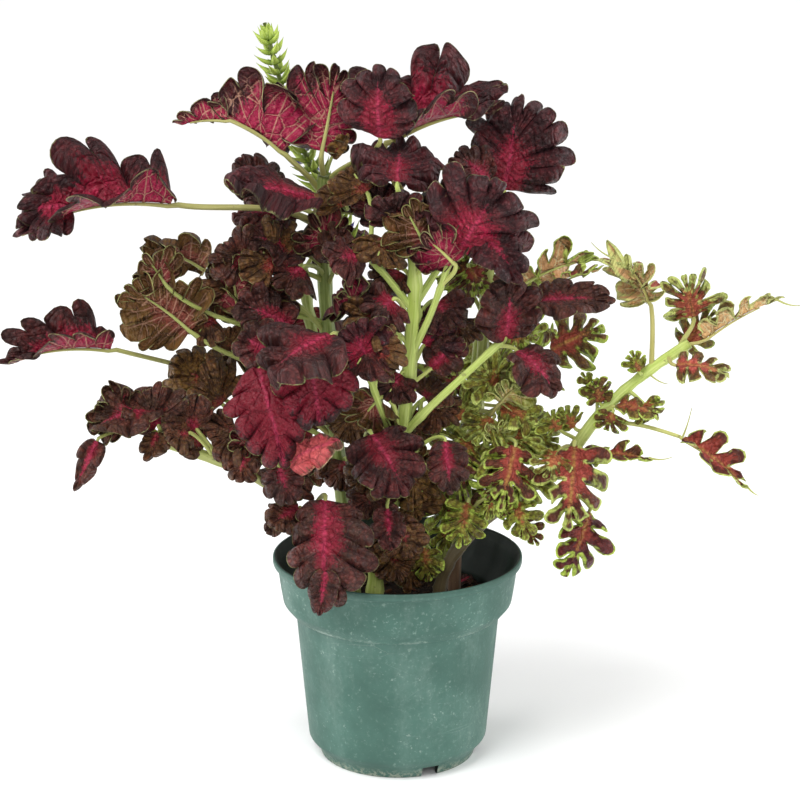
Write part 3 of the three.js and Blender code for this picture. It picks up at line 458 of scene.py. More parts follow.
        "leaves": """
        0 290, 74 22 290, 120 26 306, 0 70 60, 40 4 30 20, 0.45 0.42 0.18
        0 280, 90 6 292, 122 6 302, 0 20 90, 22 4 30 20, 0.38 0.49 0.15
        0 240, 92 14 251, 126 16 266, 0 -75 60, 42 4 30, 0.3 0.28 0.18
        0 185, 70 -20 201, 61 -34 167, 0 -90 30, 40 4 45, 0.38 0.35 0.06
        0 182, 73 0 199, 98 -6 201, 0 -80 50, 34 4 40, 0.3 0.7 0.7
        0 236, 66 -2 243, 99 -10 232, 0 50 70, 24 3 45 10, 0.32 0.7 0.72
        0 215, 38 26 232, 24 18 214, -10 -70 60, 32 4 50, 0.3 0.35 0.15
        0 270, 44 18 288, 36 14 314, -20 -80 40, 34 4 40, 0.3 0.28 0.09
        0 140, 30 0 152, 54 -2 160, 0 -70 60, 24 3 40 10, 0.3 0.35 0.12
        0 200, 62 -4 220, 84 -12 214, 0 -70 60, 28 3 45, 0.32 0.7 0.7
        0 310, 64 8 326, 60 16 346, 0 -80 40, 30 4 40, 0.3 0.35 0.09
        """,
        "young": """
        0 228, 59 -4 235, 47 -8 247, 0 -80 40, 39 4 40 10, 0.22 0.7 0.7
        0 212, 57 -6 214, 46 -14 201, -10 -80 40, 41 4 45, 0.22 0.7 0.7
        0 198, 66 -4 200, 84 -8 211, 0 -75 50, 44 4 40, 0.3 0.7 0.7
        0 186, 62 0 185, 48 -6 179, -10 -75 50, 37 4 45, 0.3 0.28 0.21
        0 172, 55 4 165, 44 0 154, -10 -75 50, 28 4 45, 0.22 0.21 0.5
        0 160, 26 4 173, 20 0 157, -10 -80 40, 32 4 45, 0.15 0.21 0.68
        0 132, 28 0 146, 32 -6 130, 0 -90 20, 26 3 45, 0.15 0.21 0.72
        0 296, 43 4 304, 52 0 289, 10 -85 30, 39 4 40, 0.26 0.28 0.09
        0 262, 67 4 266, 83 0 255, 10 -80 40, 41 4 45, 0.26 0.28 0.5
        0 210, 39 -4 213, 28 -6 227, 0 -80 40, 41 4 45, 0.22 0.7 0.7
        0 200, 44 -2 200, 32 -6 187, 0 -85 35, 46 4 45, 0.19 0.7 0.7
        0 190, 61 -6 201, 73 -14 189, 10 -80 45, 51 4 45, 0.22 0.7 0.7
        0 240, 60 4 240, 80 -4 230, 0 60 60, 34 3 40, 0.32 0.7 0.76
        0 150, 33 4 160, 26 0 142, 0 -90 20, 44 4 45, 0.11 0.14 0.72
        0 176, 39 -8 183, 25 -14 174, 0 -85 35, 44 4 45, 0.3 0.3 0.18
        0 190, 61 -6 224, 75 -10 237, -10 80 50, 34 4 50, 0.32 1.1 0.7
        0 176, 55 -10 202, 66 -14 213, 5 75 60, 28 4 50, 0.32 1.1 0.7
        """,
    },
    "right_branch_leafy_stem": {
        "cut": 0.62,
        "shoots": [
            {"thickness": 7.5, "route": [[24, -18, 78.3], [24, -18, 101], [32, -20, 130], [61, -18, 162],
                [97, -10, 186], [121, -5, 216], [145, 0, 238], [174, 0, 259]]},
        ],
        "leaves": """
        0 243, 150 0 284, 130 -2 311, 0 30 90, 52 5 50 15, 0.95 1.1 0.25 0.8 1.2
        0 254, 177 8 273, 170 5 299, 10 -95 20, 42 5 30 10, 0.6 0.8 0.3
        0 257, 182 0 261, 228 -5 288, -10 25 95, 26 4 20 45, 0.45 1.2 0.3
        0 250, 165 -12 249, 197 -16 243, 0 -50 85, 26 4 40 10, 0.5 1.1 0.2
        0 256, 170 12 254, 192 16 276, 20 -80 50, 28 4 40 10, 0.45 0.5 0.3
        0 216, 130 -10 223, 155 -16 217, 0 -40 90, 22 3 60 10, 0.45 0.5 0.35
        0 214, 119 -2 226, 110 -2 242, 10 -80 50, 16 3 50 10, 0.3 0.4 0.6
        0 208, 169 -20 206, 208 -30 176, 30 -60 75, 29 4 30 35, 0.6 0.7 0.03
        0 196, 105 -22 202, 100 -44 156, 10 -90 40, 50 4 30, 0.5 0.65 0.05 1.1 0.85
        0 190, 116 -16 194, 151 -24 194, 0 -40 90, 22 3 30 20, 0.38 0.35 0.12
        0 172, 115 -22 161, 99 -32 121, 30 -85 30, 40 4 35, 0.2 0.2 0 1 0.7
        0 150, 70 -14 158, 85 -20 139, 0 -85 40, 20 4 30 10, 0.3 0.35 0.12
        """,
        "young": """
        0 176, 79 -14 184, 71 -20 167, -10 -80 40, 44 4 45, 0.3 0.6 0.75
        0 222, 121 -6 224, 117 -8 240, 0 -85 30, 23 3 40, 0.22 0.21 0.21
        0 230, 147 -8 224, 154 -12 216, 0 -80 50, 25 3 70, 0.3 0.28 0.5
        0 212, 128 -14 220, 124 -18 210, 0 -85 30, 23 3 40, 0.22 0.21 0.24
        0 240, 144 -6 243, 139 -8 256, 0 -85 30, 18 3 30, 0.15 0.14 0.72
        0 206, 109 -14 196, 119 -20 189, 10 -80 40, 24 3 45, 0.3 0.28 0.15
        0 200, 97 -12 209, 88 -14 220, -10 -80 40, 22 3 45, 0.3 0.5 0.75
        0 140, 61 -24 169, 57 -30 161, 0 -90 20, 20 4 45, 0.15 0.21 0.15
        0 150, 70 -22 168, 77 -30 146, 0 -90 25, 26 3 45, 0.2 0.4 0.8
        0 160, 65 -20 180, 48 -26 171, -10 -85 30, 51 4 45, 0.22 0.21 0.06
        0 205, 106 -8 209, 97 -10 222, -10 -80 40, 20 3 45, 0.3 0.5 0.8
        0 126, 42 -26 168, 36 -34 143, 0 -90 20, 30 4 40, 0.15 0.2 0.7
        0 134, 53 -26 169, 60 -32 162, 10 -85 30, 20 4 45, 0.3 0.5 0.75
        0 112, 16 -24 139, 19 -28 117, 0 -90 25, 28 3 45, 0.1 0.2 0.6
        0 196, 96 -24 199, 87 -32 185, -5 -85 45, 30 4 60, 0.5 0.9 0.5
        """,
        "threads": [
            [[129, -2, 311], [114, -4, 321]], [[224, -5, 287], [239, -8, 284]],
            [[169, -20, 206], [174, -22, 225]], [[208, -30, 178], [214, -32, 174]],
            [[149, -24, 195], [163, -26, 196]], [[150, -2, 241], [161, -8, 236]],
        ],
    },
    "back_left_leafy_stem": {
        "cut": 0.42,
        "shoots": [
            {"thickness": 8, "route": [[-26, 38, 78.3], [-26, 38, 101], [-32, 43, 150], [-45, 49, 215],
                [-54, 52, 262], [-58, 52, 292]]},
        ],
        "leaves": """
        0 290, -66 62 306, -98 82 298, -20 55 80, 60 4 50, 0.35 0.5 0.1
        0 290, -46 64 306, -22 84 304, 20 55 80, 52 4 50, 0.35 0.5 0.1
        0 276, -82 52 286, -124 64 272, -30 25 90, 60 4 50, 0.35 0.5 0.1
        0 262, -54 68 264, -50 84 228, 0 85 45, 58 4 40, 0.3 0.4 0.15
        0 238, -80 46 248, -114 54 234, -50 5 80, 50 3 50, 0.3 0.4 0.2
        0 222, -60 66 222, -76 82 190, -10 85 45, 56 4 40, 0.3 0.4 0.2
        0 190, -64 50 198, -100 60 184, -40 25 80, 48 3 50, 0.25 0.4 0.3
        0 168, -42 64 174, -46 84 144, 0 85 45, 46 3 40, 0.25 0.4 0.3
        """,
        "young": "",
    },
    "back_right_leafy_stem": {
        "cut": 0.6,
        "shoots": [
            {"thickness": 7.5, "route": [[26, 40, 78.3], [26, 40, 101], [33, 45, 150], [45, 51, 210],
                [51, 54, 250], [54, 54, 276]]},
        ],
        "leaves": """
        0 274, 63 62 284, 88 78 274, 30 40 80, 46 4 50, 0.34 0.35 0.15
        0 274, 48 64 286, 42 88 272, 0 70 70, 46 4 50, 0.34 0.35 0.17
        0 256, 70 50 262, 100 54 248, 50 5 80, 40 4 50, 0.38 0.35 0.2
        0 244, 54 66 242, 62 84 212, 10 85 45, 46 4 40, 0.32 0.7 0.7
        0 224, 28 62 230, 14 84 216, -20 70 70, 42 4 50, 0.3 0.35 0.15
        0 206, 64 54 206, 96 66 190, 50 25 80, 42 4 50, 0.32 0.7 0.7
        0 176, 38 62 178, 40 84 150, 0 85 45, 40 4 40, 0.3 0.28 0.2
        0 150, 54 50 152, 84 58 140, 50 15 80, 34 3 50, 0.3 0.28 0.25
        """,
        "young": "",
    },
}

# Two numbers are for ruffled and for cut leaves, except that limits are the least and the most, a band is
# where a smooth step starts and ends, and narrowing is at the base and at the tip.
leafForm = {
    "halfThickness": 0.24, "rowsPerMm": 0.42, "rowLimits": [9, 18], "rowCrowding": 0.85, "leastBend": 0.6,
    "columnsPerMm": 1.1, "columnLimits": [8, 22], "deepCut": 0.5, "extraCut": [0.05, 0.1],
    "widest": 0.38, "narrowing": [0.58, 0.5], "roundness": [2.9, 2.7], "lengthSpread": [0.15, 0.22],
    "pinch": [-0.15, 0.0], "neck": [0.0, 0.36], "fan": 100, "fanPower": 0.8, "sway": 0.16, "inset": 0.02,
    "tipReach": 0.25, "ruffle": 0.11, "ruffleLobes": 2.6, "ruffleTurn": 2.4, "otherSide": 1.9, "droop": 0.1,
    "slackLoss": 0.85, "slackFold": 45, "waviness": 0.07, "wavinessSize": 0.3, "crown": [0.5, 0.3],
    "tilt": [0.3, 0.15], "curl": [0.34, 0.22], "tipCurl": [0.34, 0.3], "liftSpread": [0.09, 0.12],
    "pucker": 0.7, "puckerSize": 3.8, "frill": 0.022, "frillSize": 7, "patternStep": 9.7,
    "rib": 0.35, "groove": 0.25, "veinWidth": 0.7, "veinBand": [0.3, 2], "edgeWidth": 50, "edgePower": 0.8,
    "neckSpan": 1.1, "neckBand": [0.9, 0.6], "leastTilt": 0.6, "tiltSpread": 0.5, "leastTipCurl": 0.7,
    "wavinessBand": [0, 0.5], "crownBand": [0.3, 0.95], "curlBand": [0.76, 1.02],
    "tipCurlBand": [0.62, 1.05], "puckerBand": [0, 0.3], "frillBand": [0.4, 1],
}


def readRows(text):
    # a line's groups are parted by commas, and fold and twist are 0 where it leaves them out
    rows = []
    for line in text.strip().splitlines():
        groups = [[float(number) for number in group.split()] for group in line.split(",")]
        (shoot, height), base, tip, faces, size, tone = groups
        width, lobes, bend, fold, twist = (size + [0, 0])[:5]
        rows.append([int(shoot), height, base, tip, faces, width, int(lobes), bend, fold, twist, tone])
    return rows


def readLeaf(row, number, stem):
    # the row's numbers with the leaf's own axes: along = tip - base, up is the faces' way made square to
    # it, left = up × along; the root is where the shoot's straight spans pass the row's height
    shoot, height, base, tip, faces, width, lobes, bend, fold, twist, tone = row
    base, tip, faces = (np.array(v, float) for v in (base, tip, faces))
    along = unit(tip - base)
    up = unit(faces - along * (faces @ along))
    arc = np.radians(max(bend, leafForm["leastBend"]))
    chord = np.linalg.norm(tip - base)
    route = np.array(stem["shoots"][shoot]["route"], float) if stem["shoots"] else None
    columns = 2 * round(np.clip(leafForm["columnsPerMm"] * width / lobes, *leafForm["columnLimits"]) / 2)
    deep = int(stem["cut"] > leafForm["deepCut"])
    return {
        "number": number, "shoot": shoot, "height": height, "base": base, "along": along, "up": up,
        "left": np.cross(up, along), "width": width, "lobes": lobes, "arc": arc,
        "midrib": chord * arc / 2 / np.sin(arc / 2), "fold": np.radians(fold), "twist": np.radians(twist),
        "cut": stem["cut"] + leafForm["extraCut"][deep] + sum(tone[5:]), "deep": deep, "tone": tone[:3],
        "halves": tone[3:5] or [1, 1], "columns": columns,
        "rows": round(np.clip(leafForm["rowsPerMm"] * width / 2, *leafForm["rowLimits"])),
        "root": None if route is None else placeAt(height, route[:, 2], route),
    }


def bend(leaf, x, across, raised):
    # twist: across and raised turn by twist (x / midrib - ½); bend: the midrib is an arc of radius
    # midrib / arc, slope = arc (½ - x / midrib), and raised is measured square to it
    part = np.clip(x / leaf["midrib"], 0, 1) - 0.5
    turn = leaf["twist"] * part
    side = across * np.cos(turn) - raised * np.sin(turn)
    rise = across * np.sin(turn) + raised * np.cos(turn)
    slope = leaf["arc"] * (0.5 - x / leaf["midrib"])
    radius = leaf["midrib"] / leaf["arc"]
    forward = radius * (np.sin(leaf["arc"] / 2) - np.sin(slope)) - np.sin(slope) * rise
    height = radius * (np.cos(slope) - np.cos(leaf["arc"] / 2)) + np.cos(slope) * rise
    return (leaf["base"] + forward[..., None] * leaf["along"] + height[..., None] * leaf["up"]
            + side[..., None] * leaf["left"])


def lobePlaces(leaf):
    # columns within each lobe follow a half cosine, so that they crowd at the notches
    n = leaf["columns"]
    ramp = (1 - np.cos(np.pi * np.arange(n) / n)) / 2
    whole = (np.arange(leaf["lobes"])[:, None] + ramp).ravel()
    return np.concatenate([whole, leaf["lobes"] + (1 - np.cos(np.pi * np.arange(n // 2 + 1) / n)) / 2])


def bladeSide(leaf, side, chance):
    # side veins fan out of the midrib at lean = fan (1 - u)^fanPower and reach the outline: a half width,
    # narrower at both ends, less a notch 1 - (1 - |s|^p)^(1/p) between lobes, where s is -1 to 1 across a
    # lobe; beyond the notches a lobe narrows to a neck and widens into a paddle; height = ruffle - droop
    # + crown and tilt of each lobe - curl at its margin and tip + its own lift + pucker and frill
    form = leafForm
    deep, lobes, midrib, cut = leaf["deep"], leaf["lobes"], leaf["midrib"], leaf["cut"]
    width = leaf["width"] * leaf["halves"][side < 0]
    lobe = lobePlaces(leaf)[None, :]
    v = np.linspace(0, 1, leaf["rows"])[:, None] ** form["rowCrowding"]
    number = np.minimum(np.floor(lobe), lobes).astype(int)
    atTip = number == lobes
    s = 2 * (lobe - number) - 1
    crown = 1 - s**2
    u = lobe / (lobes + 0.5)
    widest, (foot, end) = form["widest"], form["narrowing"]
    narrowing = np.where(u < widest, foot * (1 - u / widest) ** 2, end * ((u - widest) / (1 - widest)) ** 2)
    power = form["roundness"][deep]
    notch = 1 - (1 - np.abs(s) ** power) ** (1 / power)
    share = v * (1 - cut * notch) * (1 + form["lengthSpread"][deep] * chance["length"][number] * crown)
    reach = width / 2 * (1 - narrowing) * share
    beyond = smooth(1 - cut, 1, share)
    pinch = (form["pinch"][deep] * beyond
             + form["neck"][deep] * smooth(1 - cut, form["neckSpan"] - cut, share)
             * smooth(*form["neckBand"], share))
    pinch = np.where(atTip, np.maximum(pinch, 0), pinch)
    pinched = (lobe + (number + 0.5 - lobe) * pinch) / (lobes + 0.5)
    fan = np.radians(form["fan"])
    sway = np.where(atTip, 0, chance["sway"][number]) * form["sway"] * crown * v
    lean = fan * np.maximum(1 - pinched, 0) ** form["fanPower"] + sway
    stretch = midrib * (1 - form["inset"]) - width * form["tipReach"]
    x = midrib * form["inset"] + pinched * stretch + reach * np.cos(lean)
    y = reach * np.sin(lean)
    flat = np.stack([x, side * y, np.full_like(x, form["patternStep"] * leaf["number"])], axis=-1)
    pitch = leaf["width"] / lobes
    phase = form["ruffleTurn"] * leaf["number"] + (0 if side > 0 else form["otherSide"])
    wave = np.sin(2 * np.pi * lobe / form["ruffleLobes"] + phase) * (1 - u**4)
    slack = 1 - form["slackLoss"] * min(1, max(0, leaf["fold"]) / np.radians(form["slackFold"]))
    height = width * (form["ruffle"] * v**1.5 * wave - form["droop"] * v**2 * np.sin(lean) * slack)
    waves = noise(flat / (form["wavinessSize"] * width), 8)
    height += form["waviness"] * width * waves * smooth(*form["wavinessBand"], v)
    height += form["crown"][deep] * pitch * crown * smooth(*form["crownBand"], v)
    tilt = np.where(atTip, 0, form["leastTilt"] + form["tiltSpread"] * chance["tilt"][number])
    height += form["tilt"][deep] * pitch * tilt * s * beyond
    height -= form["curl"][deep] * slack * pitch * smooth(*form["curlBand"], v)
    height += form["liftSpread"][deep] * width * chance["lift"][number] * crown * v**2
    tipCurl = form["tipCurl"][deep] * pitch * (form["leastTipCurl"] + chance["curl"][number]) * crown
    height -= tipCurl * smooth(*form["tipCurlBand"], share)
    height += form["pucker"] * noise(flat / form["puckerSize"], 5) * smooth(*form["puckerBand"], v)
    height += form["frill"] * width * noise(flat / form["frillSize"], 11) * smooth(*form["frillBand"], v)
    vein = np.abs(s) * (0.5 / (lobes + 0.5) * (stretch + reach * fan))
    points = bend(leaf, x, side * y * np.cos(leaf["fold"]), y * np.sin(leaf["fold"]) + height)
    place = np.stack([np.broadcast_to(k, x.shape) for k in (u, v, np.abs(s))], axis=-1)
    return points, flat, place, vein


def distanceTo(points, line):
    # the least distance from each point to the points of a line
    gaps = np.linalg.norm(points[:, None, :] - line[None, :, :], axis=-1)
    return gaps.min(axis=1)


def makeBlade(leaf, seed):
    # the two sides share the midrib and the tip column; the sheet is moved half its thickness up and down
    # its own normal, with grooves above and ribs below the veins, and closed by a rim round the margin;
    # the distance to the edge counts less on a larger leaf
    form = leafForm
    rng = np.random.default_rng(seed)
    chances = [{k: rng.uniform(-1, 1, leaf["lobes"] + 1) for k in ("length", "sway", "lift", "curl", "tilt")}
               for _ in range(2)]
    for key in ("length", "lift", "curl"):
        chances[1][key][-1] = chances[0][key][-1]
    sides = [bladeSide(leaf, side, chance) for side, chance in zip((1, -1), chances)]
    rows, columns = sides[0][0].shape[:2]
    first = np.arange(rows * columns).reshape(rows, columns)
    second = first.copy()
    second[1:, :-1] = rows * columns + np.arange((rows - 1) * (columns - 1)).reshape(rows - 1, columns - 1)
    pick = lambda k, tail: np.concatenate([sides[0][k].reshape((-1,) + tail),
                                           sides[1][k][1:, :-1].reshape((-1,) + tail)])
    points, flat, place, vein = pick(0, (3,)), pick(1, (3,)), pick(2, (3,)), pick(3, ())
    faces = np.concatenate([gridFaces(first), gridFaces(second)[:, ::-1]])
    loop = np.concatenate([first[:, 0], first[-1, 1:], second[-1, -2::-1], second[-2:0:-1, 0]])
    corners = points[faces]
    normals = np.cross(corners[:, 2] - corners[:, 0], corners[:, 3] - corners[:, 1])
    total = np.zeros_like(points)
    for k in range(4):
        np.add.at(total, faces[:, k], normals)
    total = unit(total)
    edge = distanceTo(flat[:, :2], flat[loop[rows - 1:1 - rows], :2])
    edge = edge * (form["edgeWidth"] / leaf["width"]) ** form["edgePower"]
    relief = np.exp(-(vein / form["veinWidth"]) ** 2) * smooth(*form["veinBand"], edge)
    top = points + total * (form["halfThickness"] - form["groove"] * relief)[:, None]
    bottom = points - total * (form["halfThickness"] + form["rib"] * relief)[:, None]
    count = len(points)
    ring = np.roll(loop, -1)
    rim = np.stack([loop, loop + count, ring + count, ring], axis=-1)
    values = {"bladeFlat": flat, "bladePlace": place, "bladeTone": np.tile(leaf["tone"], (count, 1))}
    values = {key: np.vstack([value, value]) for key, value in values.items()}
    under = np.concatenate([np.zeros(count), np.ones(count)])
    values["bladeReach"] = np.stack([np.tile(edge, 2), np.tile(vein, 2), under], axis=-1)
    faces = [faces, faces[:, ::-1] + count, rim]
    return {"points": np.vstack([top, bottom]), "faces": faces, "values": values}


def makeTube(path, radii, sides, section, reference, tone, seed):
    # rings square to the path, radius times section(angle), the first axis carried along by making it
    # square to each new direction; a pole closes each end
    along = unit(np.gradient(path, axis=0))
    across = np.empty_like(path)
    axis = np.array(reference, float)
    for k, direction in enumerate(along):
        axis = unit(axis - direction * (axis @ direction))
        across[k] = axis
    other = np.cross(along, across)
    angle = 2 * np.pi * np.arange(sides) / sides
    reach = radii[:, None] * section(angle)[None, :]
    out = np.cos(angle)[None, :, None] * across[:, None] + np.sin(angle)[None, :, None] * other[:, None]
    rings = path[:, None] + reach[..., None] * out
    length = lengthAlong(path)
    place = np.stack([np.tile(np.cos(angle), len(path)) + seed, np.tile(np.sin(angle), len(path)),
                      np.repeat(length, sides)], axis=-1)
    ends = [[seed, 0, 0], [seed, 0, length[-1]]]
    return {
        "points": np.vstack([rings.reshape(-1, 3), path[:1], path[-1:]]),
        "faces": tubeFaces(len(path), sides),
        "values": {"stalkPlace": np.vstack([place, ends]), "stalkTone": np.tile(tone, (len(place) + 2, 1))},
        "skin": (rings.reshape(-1, 3), out.reshape(-1, 3)),
    }


stalkForm = {
    "taper": 0.72, "perSpan": 8, "shootSides": 24, "square": 0.09, "flute": 0.03, "node": 0.26,
    "nodeLength": 3.2, "petioleRadius": 1.1, "petioleGain": 0.013, "petiolePart": 0.78, "petioleSwell": 0.3,
    "petioleGroove": 0.3, "petioleSteps": 18, "petioleSides": 9, "rise": 0.6, "steady": 0.8,
    "leave": 0.35, "arrive": 0.3, "midribPart": 0.5, "midribEnd": 0.25, "midribSpan": [0.04, 0.72],
    "midribSink": 1.05, "hairs": 5, "hairLength": 0.9, "hairSpread": [0.5, 1.2], "hairWidth": 0.07,
    "hairLean": 0.35, "threadSteps": 8, "threadSides": 5, "threadRadius": 0.75, "threadTaper": 0.55,
    "threadSag": 0.4, "threadTone": [0, 0.2, 0], "hairTone": [0.1, 0.2, 0], "hairSink": 0.1,
    "grooveWidth": 0.5,
}


def roundSection(angle):
    return np.ones_like(angle)


def squareSection(angle):
    # 1 + square cos 4a - flute cos 8a, a rounded square with a shallow groove on each face
    return 1 + stalkForm["square"] * np.cos(4 * angle) - stalkForm["flute"] * np.cos(8 * angle)


def petioleSection(angle):
    # round, with a groove where the angle is zero, on its upper face
    offTop = np.minimum(angle, 2 * np.pi - angle)
    return 1 - stalkForm["petioleGroove"] * np.exp(-(offTop / stalkForm["grooveWidth"]) ** 2)


def makeShoot(shoot, leaves, tone, seed):
    # the radius runs evenly to the taper and swells by a bell at each leaf's height
    path = smoothRoute(shoot["route"], stalkForm["perSpan"])
    part = np.linspace(0, 1, len(path))
    radii = shoot["thickness"] / 2 * (1 + (stalkForm["taper"] - 1) * part)
    heights = np.array([leaf["height"] for leaf in leaves] + [-1e3])
    swell = np.exp(-((path[:, 2:] - heights) / stalkForm["nodeLength"]) ** 2).max(axis=1)
    radii = radii * (1 + stalkForm["node"] * swell)
    return makeTube(path, radii, stalkForm["shootSides"], squareSection, (1, 0.4, 0), tone, seed)


def makePetiole(leaf, tone, seed):
    # a cubic Bezier from the shoot to the blade's base, then the midrib under the blade, which thins out
    form = stalkForm
    arrival = leaf["along"] * np.cos(leaf["arc"] / 2) + leaf["up"] * np.sin(leaf["arc"] / 2)
    root = leaf["root"]
    end = leaf["base"] - arrival * (1 + leafForm["inset"] * leaf["width"])
    span = np.linalg.norm(end - root)
    departure = unit(unit(end - root) + np.array([0, 0, form["rise"]]))
    approach = unit(arrival + form["steady"] * unit(end - root))
    controls = [root, root + departure * form["leave"] * span, end - approach * form["arrive"] * span, end]
    t = np.linspace(0, 1, form["petioleSteps"])[:, None]
    bezier = sum(c * n * (1 - t) ** (3 - k) * t**k for k, (c, n) in enumerate(zip(controls, (1, 3, 3, 1))))
    x = np.linspace(*form["midribSpan"], form["petioleSteps"]) * leaf["midrib"]
    radius = form["petioleRadius"] + form["petioleGain"] * leaf["width"]
    rib = radius * form["midribPart"] * (1 - x / leaf["midrib"]) + form["midribEnd"]
    under = bend(leaf, x, np.zeros_like(x), -form["midribSink"] * rib - leafForm["groove"])
    swell = 1 + form["petioleSwell"] - form["petioleSwell"] * t[:, 0] ** 0.6
    radii = np.concatenate([radius * form["petiolePart"] * swell, rib])
    path = np.vstack([bezier, under])
    return makeTube(path, radii, form["petioleSides"], petioleSection, leaf["up"], tone, seed)


def makeThread(start, end, seed):
    # a thin tapering line that bows down by sag t (1 - t) of its length
    form = stalkForm
    start, end = np.array(start, float), np.array(end, float)
    t = np.linspace(0, 1, form["threadSteps"])[:, None]
    sag = form["threadSag"] * np.linalg.norm(end - start) * t * (1 - t) * np.array([0, 0, -1])
    radii = form["threadRadius"] - form["threadTaper"] * t[:, 0]
    path = start + (end - start) * t + sag
    return makeTube(path, radii, form["threadSides"], roundSection, (0.1, 1, 0.1), form["threadTone"], seed)


def makeHairs(tubes, seed):
    # three-sided spikes: foot corners of a small triangle on the skin, tip = foot + length (normal + chance)
    form = stalkForm
    rng = np.random.default_rng(seed)
    skin = np.vstack([tube["skin"][0] for tube in tubes])
    out = np.vstack([tube["skin"][1] for tube in tubes])
    chosen = rng.choice(len(skin), len(skin) // form["hairs"], replace=False)
    foot, normal = skin[chosen], out[chosen]
    lean = unit(normal + rng.normal(0, form["hairLean"], foot.shape))
    side = unit(np.cross(lean, rng.normal(0, 1, foot.shape)))
    other = np.cross(lean, side)
    turn = 2 * np.pi * np.arange(3) / 3
    feet = [foot - form["hairSink"] * lean + form["hairWidth"] * (np.cos(a) * side + np.sin(a) * other)
            for a in turn]
    tips = foot + lean * (form["hairLength"] * rng.uniform(*form["hairSpread"], len(foot)))[:, None]
    points = np.stack([*feet, tips], axis=1).reshape(-1, 3)
    start = 4 * np.arange(len(foot))[:, None]
    faces = np.concatenate([start + np.array(c) for c in ([0, 1, 3], [1, 2, 3], [2, 0, 3], [0, 2, 1])])
    tone = np.tile(form["hairTone"], (len(points), 1))
    return {"points": points, "faces": [faces], "values": {"stalkPlace": points * 0, "stalkTone": tone}}


def bladeLook(name, colours):
    # dark quilted lobes round a red heart, which frays out along the side veins, a thin pale margin that
    # comes and goes, and on the under side a net of pale veins; the lobes also carry painted highlights on
    # the raised puckers and painted shade in the creases between them
    look = Look(name, Sheen_Weight=0.04, Sheen_Roughness=0.5, Specular_IOR_Level=0.3)
    look.shader.inputs["Sheen Tint"].default_value = paint("c9b6c4")
    u, v, s = look.attribute("bladePlace")
    x, y, leafSeed = look.attribute("bladeFlat")
    edge, vein, under = look.attribute("bladeReach")
    heart, glow, green = look.attribute("bladeTone")
    flat = look.vector(x, y, leafSeed)
    broad = look.noise(flat, 0.09, 3)
    fine = look.noise(flat, 0.8, 4, 0.6)
    speck = look.noise(flat, 1.3, 3, 0.7)
    warped = look.vector(x + 3 * fine, y + 3 * broad, leafSeed)
    quilt = look.cells(warped, 0.4, "F1")
    net = look.cells(warped, 0.11)
    twigs = look.cells(warped, 0.3)
    ridge = (8.6 * s + 3.5 * broad).cosine()
    salmon = look.step(glow, 1, 1.5)
    reach = v + 0.3 * look.step(u, 0.35, 1) + 0.7 * (fine - 0.5) + 0.4 * (broad - 0.5) + 0.05 * ridge
    inHeart = look.step(reach, heart + 0.16, heart - 0.14)
    lobes = look.mix(look.step(broad + 0.4 * fine, 0.45, 0.9), colours["dark"], colours["deep"])
    lobes = look.mix(green, lobes, look.mix(fine, colours["olive"], colours["leafGreen"]))
    # painted highlight: a pale mauve on the tops of the raised puckers, in fine specks, weaker on green
    # leaves
    paintedHighlight = look.step(quilt, 0.5, 0.1) * look.step(speck, 0.48, 0.72) * (1 - 0.7 * green)
    lobes = look.mix(paintedHighlight * colours["paintedHighlightPart"], lobes, colours["paintedHighlight"])
    bright = look.mix(glow * look.step(broad, 0.3, 0.7), colours["crimson"], colours["magenta"])
    bright = look.mix(look.step(fine + 0.1 * ridge, 0.5, 0.8) * glow * 0.8, bright, colours["rose"])
    bright = look.mix(salmon * 0.85, bright, look.mix(fine, "b8324a", "e0786c"))
    bright = look.mix(look.step(green, 0.1, 0.6) * 0.75, bright, colours["warm"])
    upper = look.mix(inHeart, lobes, bright)
    spine = look.step(abs(y) + 3 * fine, 3.6, 1.4) * inHeart * (0.55 - 0.4 * look.step(green, 0.1, 0.5))
    upper = look.mix(spine, upper, colours["spine"])
    # painted shade: the creases between the puckers darkened to the deep colour, or to crimson in the heart,
    # less on salmon leaves
    paintedCreaseShade = look.step(quilt, 0.3, 0.75) * (0.6 - 0.52 * salmon)
    upper = look.mix(paintedCreaseShade, upper, look.mix(inHeart, colours["deep"], colours["crimson"]))
    far = heart + colours["underReach"]
    red = look.mix(fine, colours["underDeep"], colours["underPink"])
    lower = look.mix(look.step(reach, far, far - 0.25), lobes, look.mix(green, red, colours["underOlive"]))
    lines = look.step(net, 0.032, 0.01).maximum(look.step(twigs, 0.03, 0.008) * 0.45)
    lines = lines.maximum(look.step(vein, 0.55, 0.2))
    lower = look.mix(lines * look.step(v, 0.97, 0.6) * 0.7, lower, colours["underVein"])
    skin = look.mix(under, upper, lower)
    ragged = edge * (2.1 - 2.2 * broad) * (1 - 0.65 * salmon) + 0.8 * (fine - 0.5)
    rim = look.step(ragged, colours["rimWidth"], colours["rimWidth"] * 0.45)
    rim = rim * (1 - (1 - colours["rimPatch"]) * look.step(broad, 0.42, 0.58))
    skin = look.mix(rim * colours["rimPart"], skin, look.mix(glow * 0.3, colours["lime"], "e8c9b8"))
    height = 0.35 * ridge * look.step(v, 0.15, 0.5) - 1.3 * quilt + look.step(net, 0, 0.12) + 0.5 * fine
    return look.finish(skin, 0.58 - 0.24 * speck, height, 0.0014)
